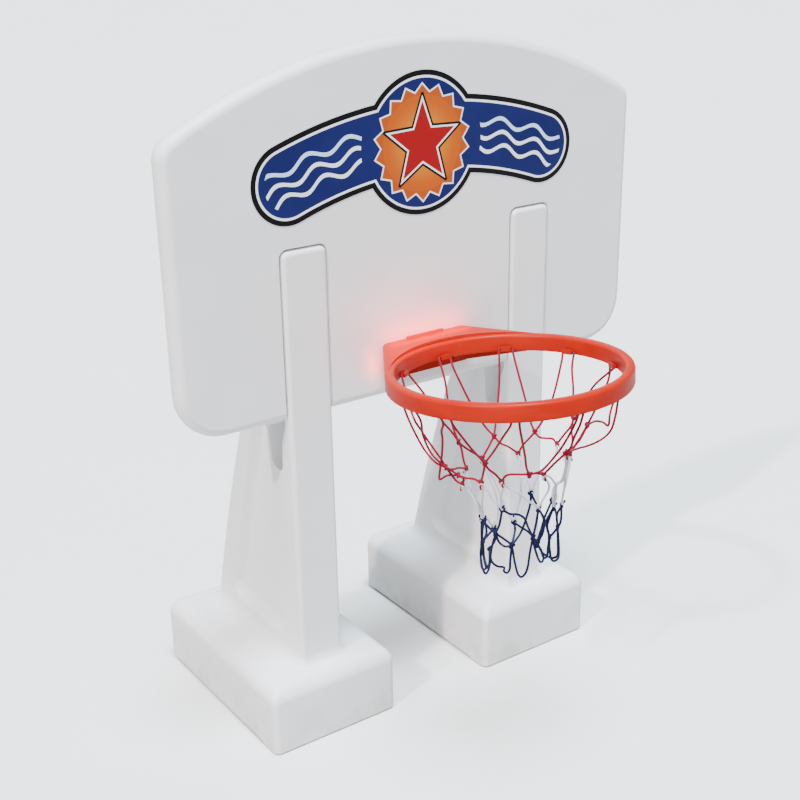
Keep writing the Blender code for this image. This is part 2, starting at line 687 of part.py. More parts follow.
def make_fasteners(group, places, insert_start, washer_start):
    """Insert, washer and bolt on each axis, from the front to the back."""
    for number, (x, z) in enumerate(places, 1):
        turned_sleeve(f"{group}_insert_{number}", INSERT_RADIUS, BOLT_RADIUS + GAP,
                      (x, insert_start, z), INSERT_LENGTH, 14, "brass")
        turned_sleeve(f"{group}_washer_{number}", WASHER_RADIUS, BOLT_RADIUS + GAP,
                      (x, washer_start, z), WASHER_THICKNESS, 18, "steel")
        make_bolt(f"{group}_bolt_{number}", x, z, insert_start + INSERT_LENGTH - THREAD_REACH,
                  washer_start + WASHER_THICKNESS + GAP)


def make_backing_plate():
    middle = RIM_BOLT_LOW + RIM_BOLT_RISE / 2
    outline = rounded_rectangle(PLATE_WIDTH / 2, middle - PLATE_HEIGHT / 2, middle + PLATE_HEIGHT / 2,
                                PLATE_CORNER, 4)
    start = BOARD_BACK_Y + GAP
    sheet = plate(outline, start, start + PLATE_THICKNESS, "Y")
    body = add_part("rim_backing_plate", finish_mesh(sheet, "rim_backing_plate"), "steel")
    holes = [rod(HOLE_RADIUS, start - OVERRUN, start + PLATE_THICKNESS + OVERRUN, 16, x, z)
             for x, z in rim_bolt_places()]
    combine(body, add_cutter("plate_holes_cut", gather(holes)), "DIFFERENCE")


# Rim

def ring_profile():
    """Section of the ring in radius and height, outer side downwards, with the groove below."""
    inner, outer = RING_INNER_RADIUS, RING_OUTER_RADIUS
    top, bottom = RING_HEIGHT / 2, -RING_HEIGHT / 2
    middle = (inner + outer) / 2
    round_top, round_low = RING_TOP_ROUND, RING_BOTTOM_ROUND
    half = RING_GROOVE_WIDTH / 2
    points = arc((outer - round_top, top - round_top), round_top, 90, 0, 3)
    points += arc((outer - round_low, bottom + round_low), round_low, 0, -90, 2)
    points += [(middle + half, bottom), (middle + half / 2, bottom + RING_GROOVE_DEPTH),
               (middle - half / 2, bottom + RING_GROOVE_DEPTH), (middle - half, bottom)]
    points += arc((inner + round_low, bottom + round_low), round_low, 270, 180, 2)
    points += arc((inner + round_top, top - round_top), round_top, 180, 90, 3)
    return points


def bracket_block(wall, top_wall, back_wall):
    """Tray between the ring's tangents and the board, in the ring's own frame."""
    back = RING_SETBACK / math.cos(RING_RAKE) + (OVERRUN * 2 if wall == 0 else -back_wall)
    front = RING_SETBACK - BRACKET_TANGENT_Y
    slope = (BRACKET_TANGENT_X - BRACKET_HALF_WIDTH) / BRACKET_TANGENT_Y
    back_half = BRACKET_HALF_WIDTH - slope * (back - RING_SETBACK) - wall
    front_half = BRACKET_TANGENT_X - wall
    outline = [(-back_half, back), (-front_half, front), (front_half, front), (back_half, back)]
    top = RING_HEIGHT / 2 - top_wall - GAP
    bm = plate(outline, -RING_HEIGHT / 2, top, "Z")
    for vert in bm.verts:
        share = (vert.co.y - front) / BRACKET_TANGENT_Y
        if vert.co.z > 0:
            vert.co.z += BRACKET_RISE * share
        else:
            vert.co.z -= BRACKET_DROP * share + (BRACKET_DROP + OVERRUN if wall else 0)
    return bm


def hook_angle(number):
    return HOOK_PHASE + 2 * math.pi * number / HOOK_COUNT


def hook_block(number):
    """A J hook: a floor under the ring's inner wall and a lip standing up from it."""
    half = HOOK_WIDTH / 2
    wall = RING_INNER_RADIUS + RING_WALL / 4
    face = RING_INNER_RADIUS - HOOK_SLOT
    bottom = -RING_HEIGHT / 2 + RING_BOTTOM_ROUND / 2
    outline = [(wall, bottom), (face - HOOK_LIP, bottom), (face - HOOK_LIP, bottom + HOOK_RISE),
               (face, bottom + HOOK_RISE), (face, bottom + HOOK_FLOOR), (wall, bottom + HOOK_FLOOR)]
    bm = plate(outline, -half, half, "Y")
    bmesh.ops.rotate(bm, verts=bm.verts, matrix=Matrix.Rotation(hook_angle(number), 3, "Z"))
    return bm


def make_rim():
    guide = add_guide("ring_guide", RING_CENTRE, -RING_RAKE)
    rim = turned("rim", ring_profile(), True, RING_STEPS, "orange_plastic")
    rim.parent = guide
    block = add_cutter("bracket", bracket_block(0, 0, 0), guide)
    bevel(block, BRACKET_EDGE_ROUND, 3)
    cavity = bracket_block(BRACKET_WALL, BRACKET_TOP_WALL, BRACKET_BACK_WALL)
    combine(block, add_cutter("bracket_cavity_cut", cavity, guide), "DIFFERENCE")
    bore = bmesh.new()
    bmesh.ops.create_cone(bore, cap_ends=True, segments=RING_STEPS, depth=RING_SETBACK,
                          radius1=RING_INNER_RADIUS + RING_WALL / 2,
                          radius2=RING_INNER_RADIUS + RING_WALL / 2)
    combine(block, add_cutter("bracket_bore_cut", bore, guide), "DIFFERENCE")
    combine(rim, block, "UNION")
    for number, (x, z) in enumerate(rim_bolt_places(), 1):
        boss = rod(BOSS_RADIUS, FACE_Y - BOSS_LENGTH, FACE_Y + OVERRUN, 20, x, z)
        combine(rim, add_cutter(f"rim_boss_{number}", boss), "UNION")
    lip_top = (RING_MID_HEIGHT - RING_SETBACK * math.tan(RING_RAKE) + RING_HEIGHT / 2
               + BRACKET_RISE + LIP_HEIGHT)
    lip = box((-LIP_WIDTH / 2, FACE_Y - LIP_DEPTH, lip_top - RING_HEIGHT / 2),
              (LIP_WIDTH / 2, FACE_Y + OVERRUN, lip_top))
    combine(rim, add_cutter("rim_lip", lip), "UNION")
    reach = RING_OUTER_RADIUS
    trim = box((-reach, RIM_BACK_Y, 0), (reach, RIM_BACK_Y + RING_SETBACK, BOARD_TOP))
    combine(rim, add_cutter("rim_trim_cut", trim), "DIFFERENCE")
    sockets = [rod(SOCKET_RADIUS, RIM_INSERT_Y - GAP, FACE_Y + OVERRUN, 16, x, z)
               for x, z in rim_bolt_places()]
    combine(rim, add_cutter("rim_sockets_cut", gather(sockets)), "DIFFERENCE")
    for number in range(HOOK_COUNT):
        combine(rim, add_cutter(f"hook_{number + 1}", hook_block(number), guide), "UNION")


# Net

SIDES = ("right", "top", "left", "bottom")


def net_point(row, number, drop=0.0):
    """A place on a row of the net; odd steps of rows lie halfway between the hooks."""
    radius, depth = NET_SHAPE[row]
    turn = hook_angle(number + (0.5 if row % 2 == 0 else 0))
    depth += drop
    sway = NET_SWAY * (depth / NET_SHAPE[-1][1]) ** SWAY_POWER
    return RING_CENTRE + Vector((radius * math.cos(turn) + sway, radius * math.sin(turn), -depth))


def net_frame(row, number):
    """Outward and upward directions of the net's surface at a knot."""
    above = NET_SHAPE[row - 1] if row else (TROUGH_RADIUS, -TROUGH_Z)
    below = NET_SHAPE[min(row + 1, len(NET_SHAPE) - 1)]
    rise = Vector((above[0] - below[0], below[1] - above[1])).normalized()
    turn = hook_angle(number + (0.5 if row % 2 == 0 else 0))
    outward = Vector((math.cos(turn), math.sin(turn), 0))
    up = outward * rise.x + Vector((0, 0, rise.y))
    return outward * rise.y - Vector((0, 0, rise.x)), up


def add_knot(bm, place, out, up):
    """A lozenge in the net's surface. Its four flanks are where cords leave."""
    ways = dict(zip(SIDES, (up.cross(out), up, -up.cross(out), -up)))
    knot = {"place": place, "out": out, "open": set(SIDES)}
    for side, way in ways.items():
        for layer, sign in (("outer", 1), ("inner", -1)):
            knot[side, layer] = bm.verts.new(place + way * KNOT_HALF + out * (sign * KNOT_DEPTH / 2))
    for layer in ("outer", "inner"):
        bm.faces.new([knot[side, layer] for side in SIDES])
    return knot


def knot_flank(knot, flank, leaving):
    """The four corners of a flank, in a cord's order: left outer, left inner, right inner, right outer."""
    first = SIDES[flank]
    second = SIDES[(flank + 1) % 4]
    knot["open"].discard(first)
    left, right = (second, first) if leaving else (first, second)
    return [knot[left, "outer"], knot[left, "inner"], knot[right, "inner"], knot[right, "outer"]]


def close_knot(bm, knot):
    for flank in [SIDES.index(side) for side in sorted(knot["open"])]:
        bm.faces.new(knot_flank(knot, flank, True))


def add_cord(bm, start, start_flank, middle, end, end_flank):
    """A four-sided cord from one knot to another by way of places with an outward direction."""
    path = []
    targets = [place for place, out in middle] or [end["place"], start["place"]]
    path.append((start["place"] + (targets[0] - start["place"]).normalized() * KNOT_TAPER, start["out"]))
    path += middle
    path.append((end["place"] + (targets[-1] - end["place"]).normalized() * KNOT_TAPER, end["out"]))
    places = [start["place"]] + [place for place, out in path] + [end["place"]]
    rows = [knot_flank(start, start_flank, True)]
    for index, (place, out) in enumerate(path):
        before = (place - places[index]).normalized()
        after = (places[index + 2] - place).normalized()
        way = (before + after).normalized()
        left = out.cross(way).normalized()
        out = way.cross(left)
        corners = ((1, 1), (1, -1), (-1, -1), (-1, 1))
        rows.append([bm.verts.new(place + (left * a + out * b) * CORD_RADIUS) for a, b in corners])
    rows.append(knot_flank(end, end_flank, False))
    for low, high in zip(rows, rows[1:]):
        for index in range(4):
            after = (index + 1) % 4
            bm.faces.new((low[index], low[after], high[after], high[index]))


def trough_points(number):
    """The two ends of the cord's seat in a hook."""
    reach = HOOK_WIDTH / 2 + CORD_RADIUS * 2
    turn = RING_TILT @ Matrix.Rotation(hook_angle(number), 4, "Z")
    out = turn.to_3x3() @ Vector((1, 0, 0))
    return [(turn @ Vector((TROUGH_RADIUS, side * reach, TROUGH_Z)), out) for side in (-1, 1)]


def loop_points(row, number):
    """The round foot of a hanging loop."""
    turn = hook_angle(number + 0.5)
    out = Vector((math.cos(turn), math.sin(turn), 0))
    half = LOOP_WIDTH_SHARE / 2
    sides = [net_point(row, number + side * half, -LOOP_ROUND / 4) for side in (-1, 1)]
    return [(place, out) for place in (sides[0], net_point(row, number), sides[1])]


def make_tier(name, number, material):
    bm = bmesh.new()
    first, last = COLOUR_STEPS[number:number + 2]
    grid = []
    knotted = range(first, last) if last == len(NET_SHAPE) - 1 else range(first, last + 1)
    for row in knotted:
        line = []
        for number in range(HOOK_COUNT):
            out, up = net_frame(row, number)
            place = net_point(row, number)
            if row == first and row:
                place -= up * (KNOT_HALF + TIER_GAP / 2)
            if row == last:
                place += up * (KNOT_HALF + TIER_GAP / 2)
            line.append(add_knot(bm, place, out, up))
        grid.append(line)
    for index, (above, below) in enumerate(zip(grid, grid[1:])):
        halfway = (first + index) % 2 == 0
        for number, knot in enumerate(above):
            right = below[(number + halfway) % HOOK_COUNT]
            left = below[(number + halfway - 1) % HOOK_COUNT]
            add_cord(bm, knot, 3, [], right, 1)
            add_cord(bm, knot, 2, [], left, 0)
    if first == 0:
        for number in range(HOOK_COUNT):
            add_cord(bm, grid[0][number - 1], 0, trough_points(number), grid[0][number], 1)
    if last == len(NET_SHAPE) - 1:
        for number in range(HOOK_COUNT):
            after = grid[-1][(number + 1) % HOOK_COUNT]
            add_cord(bm, grid[-1][number], 3, loop_points(last, number), after, 2)
    for line in grid:
        for knot in line:
            close_knot(bm, knot)
    return add_part(name, finish_mesh(bm, name), material)


# Sticker

def circle_meeting(radius, disc_z):
    """Where a circle about the arch's centre crosses the disc: x, and both angles in degrees."""
    lift = disc_z - ARCH_Z
    height = (radius ** 2 - ROUNDEL_RADIUS ** 2 + lift ** 2) / (2 * lift)
    x = math.sqrt(radius ** 2 - height ** 2)
    return math.degrees(math.atan2(height, x)), math.degrees(math.atan2(height - lift, x))


def sticker_outline():
    """Disc, band and disc again, up the right side, and the same mirrored."""
    disc_z = BOARD_TOP - ROUNDEL_BELOW_ARCH
    outer = BOARD_ARCH_RADIUS - STICKER_BELOW_ARCH
    inner = outer - STICKER_BAND
    middle = (outer + inner) / 2
    end = math.degrees(math.acos((STICKER_HALF_WIDTH - STICKER_BAND / 2) / middle))
    cap = (middle * math.cos(math.radians(end)), ARCH_Z + middle * math.sin(math.radians(end)))
    low_band, low_disc = circle_meeting(inner, disc_z)
    high_band, high_disc = circle_meeting(outer, disc_z)
    points = arc((0, disc_z), ROUNDEL_RADIUS, -90, low_disc, 5)
    points += arc((0, ARCH_Z), inner, low_band, end, 4)[1:]
    points += arc(cap, STICKER_BAND / 2, end - 180, end, 8)[1:]
    points += arc((0, ARCH_Z), outer, end, high_band, 4)[1:]
    points += arc((0, disc_z), ROUNDEL_RADIUS, high_disc, 90, 5)[1:]
    return points + [(-x, z) for x, z in points[-2:0:-1]]


def make_sticker():
    sheet = plate(sticker_outline(), FACE_Y - GAP - STICKER_THICKNESS, FACE_Y - GAP, "Y")
    add_part("board_sticker", finish_mesh(sheet, "board_sticker"), "sticker")


# Fill plugs

def make_plug(name, port):
    """Rubber ring and threaded plug on a port's axis."""
    seat = PORT_PAD_RISE + GAP
    core = PORT_RADIUS - PLUG_CLEARANCE
    gasket = turned_sleeve(name + "_plug_gasket", GASKET_OUTER, core + GAP, (0, seat, 0),
                           GASKET_THICKNESS, 32, "rubber")
    gasket.parent = port
    under = seat + GASKET_THICKNESS + GAP
    top = under + PLUG_FLANGE
    edge = PLUG_EDGE_ROUND
    profile = ((0, top), (PLUG_FLANGE_RADIUS - edge, top), (PLUG_FLANGE_RADIUS, top - edge),
               (PLUG_FLANGE_RADIUS, under), (core, under), (core, under - PLUG_LENGTH + edge),
               (core - edge, under - PLUG_LENGTH), (0, under - PLUG_LENGTH))
    plug = turned(name + "_fill_plug", profile, False, 32, "cap_plastic")
    plug.rotation_euler = (-math.pi / 2, 0, 0)
    plug.parent = port
    grip = box((-PLUG_GRIP_LENGTH / 2, top - edge, -PLUG_GRIP_WIDTH / 2),
               (PLUG_GRIP_LENGTH / 2, top + PLUG_GRIP_HEIGHT, PLUG_GRIP_WIDTH / 2))
    block = add_cutter(name + "_plug_grip", grip, port)
    bevel(block, edge, 2)
    combine(plug, block, "UNION")


make_backboard()
for leg_side, leg_name in ((-1, "left"), (1, "right")):
    fill_port = add_port(leg_side * LEG_CENTRE, leg_name + "_port")
    make_leg(leg_side, leg_name, fill_port)
    make_plug(leg_name, fill_port)
make_fasteners("leg", leg_bolt_places(), LEG_INSERT_Y, RISER_FRONT_Y + POCKET_FLOOR + GAP)
make_rim()
make_backing_plate()
make_fasteners("rim", rim_bolt_places(), RIM_INSERT_Y, BOARD_BACK_Y + GAP + PLATE_THICKNESS + GAP)
make_sticker()
make_tier("net_red", 0, "red_cord")
make_tier("net_white", 1, "white_cord")
make_tier("net_blue", 2, "blue_cord")
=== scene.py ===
"""Poolside basketball hoop: finishes, printed sheet, knotted net, floor, light and camera."""
import json
import math
import random

import bmesh
import bpy
import numpy
from mathutils import Matrix, Vector


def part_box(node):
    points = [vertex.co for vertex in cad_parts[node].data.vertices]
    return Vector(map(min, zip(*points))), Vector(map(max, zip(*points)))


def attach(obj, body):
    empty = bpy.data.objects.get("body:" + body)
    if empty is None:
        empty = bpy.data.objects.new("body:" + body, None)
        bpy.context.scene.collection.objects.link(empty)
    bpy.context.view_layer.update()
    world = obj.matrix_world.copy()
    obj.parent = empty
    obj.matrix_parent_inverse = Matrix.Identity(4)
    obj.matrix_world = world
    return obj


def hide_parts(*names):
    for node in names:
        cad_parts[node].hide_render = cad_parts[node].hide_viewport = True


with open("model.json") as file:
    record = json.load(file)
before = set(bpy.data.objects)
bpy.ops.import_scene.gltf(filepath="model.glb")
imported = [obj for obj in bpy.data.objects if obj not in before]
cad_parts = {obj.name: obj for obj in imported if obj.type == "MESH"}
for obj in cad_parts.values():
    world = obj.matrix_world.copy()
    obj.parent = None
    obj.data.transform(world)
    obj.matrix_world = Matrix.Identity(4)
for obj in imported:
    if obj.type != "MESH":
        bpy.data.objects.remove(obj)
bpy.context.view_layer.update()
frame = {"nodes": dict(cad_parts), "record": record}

CHANCE = random.Random(7)

# Lengths are in metres and angles in radians, unless a comment says otherwise

# The frame's board
BOARD_LOW, BOARD_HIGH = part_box("backboard")
FACE_Y = BOARD_LOW[1]
BOARD_TOP = BOARD_HIGH[2]

# Camera, as fitted to the photograph
PICTURE = 800                   # the photograph's width and height in pixels
SENSOR_WIDTH = 36               # millimetres
FOCAL_LENGTH = 58.384           # millimetres
CAMERA_SHIFT = (-0.00796, 0.024125)
CAMERA_PLACE = (-1.49608, FACE_Y - 2.06118, 1.68661)
CAMERA_TURN = (67.7196, 0.7972, -35.4124)       # degrees
CAMERA_REACH = 200

# Printed sheet: a band with round ends on an arch, and a roundel over its middle
ARCH_Z = BOARD_TOP - 1.10
BAND_OUTER = 0.985
BAND_INNER = 0.830
BAND_MIDDLE = (BAND_OUTER + BAND_INNER) / 2
BAND_HALF = (BAND_OUTER - BAND_INNER) / 2
BAND_END_X = 0.385 - BAND_HALF
ROUNDEL_Z = BOARD_TOP - 0.206
ROUNDEL_RADIUS = 0.140
SHEET_TRIM = 0.0003
INK_SOFT = 0.0004
RIM_WIDTH = 0.0105              # black, along the whole edge
LINE_END = 0.0152               # where the white line inside the rim ends
WAVE_INSET = 0.028
WAVE_GAP = 0.026
WAVE_RATE = 70.0
WAVE_LAG = 30
WAVE_HEIGHT = 0.0085
WAVE_HALF_WIDTH = 0.0040
ROUNDEL_FREE = (0.004, 0.005)   # the waves end this far outside the roundel
RAYS = (18, 0.117, 0.86)        # points, outer radius, and inner radius as a share of it
RAY_LINE = 0.0030
SUN_RADIUS = 0.094
SUN_FADE = (0.03, 0.09)
BADGE = (5, 0.082, 0.42)
BADGE_REACH = 0.090
BADGE_RIM = 0.0080
BADGE_LINE = 0.0036
BLACK_INK = (0.002, 0.002, 0.003)
WHITE_INK = (0.86, 0.87, 0.90)
PALE_BLUE_INK = (0.55, 0.72, 0.92)
EDGE_STEPS = 24
CAP_STEPS = 40
SEARCH_STEPS = 4000

# Smoothly shaded pieces
WELD = 0.00002
FLAT = math.radians(0.2)
SHARP = math.radians(34)

# The frame's ring and its cord seats
RING_CENTRE = Vector((0, FACE_Y - 0.2745, 0.8255))
RING_RAKE = math.radians(4.1)
HOOKS = 10
HOOK_START = math.radians(16.5)
SEAT_RADIUS = 0.2150
SEAT_HALF = 0.0136
SEAT_DROP = 0.0103

# Net: its sides stand this far from its middle at these depths under the ring's middle, and its
# middle swings to the right on its way down
NET_DEPTHS = (0.0, 0.012, 0.090, 0.156, 0.187, 0.235, 0.285, 0.343, 0.408, 0.450)
NET_RADII = (0.215, 0.214, 0.172, 0.140, 0.116, 0.096, 0.078, 0.074, 0.076, 0.077)
NET_SWING = 0.042
NET_SWING_DEPTH = 0.414
NET_SWING_POWER = 1.4
NET_LOWEST = 0.404
HOOK_DEPTH = 0.022
LOOP_DROP = 0.065
ROW_DEPTHS = {"F": 0.156, "J": 0.187, "W": 0.285, "N": 0.343}

# Placing a pixel on the net: how far places on its line of sight may lie from the row and the
# side, and what a place on the wrong side or under the net costs
SIGHT_STEPS = numpy.linspace(1.6, 3.2, 3201)
KNOT_SPREAD = 0.045
CORD_SPREAD = 0.03
HOOK_SPREAD = 0.05
SIDE_SPREAD = 0.012
WRONG_SIDE_COST = 6
TOO_LOW_COST = 50

# Cords and knots
RED_RADIUS = 0.0023
WHITE_RADIUS = 0.0021
NAVY_RADIUS = 0.0025
CORD_SIDES = 8
CORD_STEP = 0.005
TAIL_STEPS = 4
TAIL_TIP = 0.72
KNOT_STEPS = 36
KNOT_LOBE = 1.7
KNOT_SHAPE = (0.34, 0.42, 0.30)
KNOT_TIGHTNESS = 0.98
KNOT_SIZES = (0.0046, 0.0058)
KNOT_LEAN = 0.6
WHITE_KNOT_SIZE = 0.0046
WHITE_KNOT_OFF = 0.0055
WHITE_KNOT_OUT = 0.001
RED_TAILS = (0.010, 0.015)
NAVY_TAILS = (0.010, 0.014)
NAVY_TAIL_RISE = 0.002
SEAT_BEND = 0.0006

# Floor, backdrop, and the red glow beside the frame's bracket
FLOOR_HALF = 60
FLOOR_DROP = 0.0005
SKY = ((0.93, 0.97, 1.0, 1), 0.44)
WALL = ((0.96, 0.98, 1.0, 1), 3.4)
BRACKET_HALF = 0.1035
BRACKET_LOW_Z = 0.757
BRACKET_TOP_Z = 0.836
BRACKET_FLARE = 0.015
GLOW_COLOUR = (1.0, 0.02, 0.02)
GLOW_STRIP = 0.010
SIDE_GLOW_OFF = 0.020
SIDE_GLOW_HEIGHT = 0.055
TOP_GLOW_OFF = 0.034
TOP_GLOW_WIDTH = 0.195
WIDE_GLOW_OFF = 0.11
WIDE_GLOW_RISE = 0.045

# Knots by their places in the photograph, in pixels across and down, on the net's near (n) or
# far (f) side. F knots are red, J joins red to white, W joins white to navy, and N knots are navy.
KNOT_PIXELS = {
    "F0": (535, 431.5, "f"), "F1": (494, 436, "f"), "F2": (458.5, 441.5, "f"), "F3": (446, 467.5, "n"),
    "F4": (458.5, 475.5, "n"), "F5": (485, 463, "n"), "F6": (529.5, 474.5, "n"), "F7": (567, 452, "n"),
    "F8": (587, 425.5, "f"), "F9": (573.5, 418.5, "f"), "J0": (557, 444, "f"), "J1": (518.3, 453.2, "f"),
    "J2": (482.3, 458.2, "f"), "J3": (466.3, 468.5, "f"), "J4": (462.5, 484.3, "n"),
    "J5": (481, 482.6, "n"), "J6": (502, 481.6, "n"), "J7": (543.8, 474.5, "n"), "J8": (565.5, 453, "n"),
    "J9": (570, 455, "f"), "W0": (531, 493.5, "f"), "W1": (514, 522.5, "f"), "W2": (494.5, 528, "f"),
    "W3": (484.3, 518.5, "f"), "W4": (481.8, 520.5, "n"), "W5": (502, 509.5, "n"), "W6": (538.5, 509, "n"),
    "W7": (553.5, 507.5, "n"), "W8": (561.5, 505.5, "n"), "W9": (552, 500.5, "f"),
    "N0": (537, 542, "f"), "N1": (511.8, 545.5, "f"), "N2": (489.5, 549, "f"), "N3": (483, 541, "f"),
    "N4": (481.8, 543, "n"), "N5": (495.5, 533.5, "n"), "N6": (533, 537, "n"), "N7": (537.2, 544, "n"),
    "N8": (549.5, 537, "n"), "N9": (557.5, 527, "f"),
}

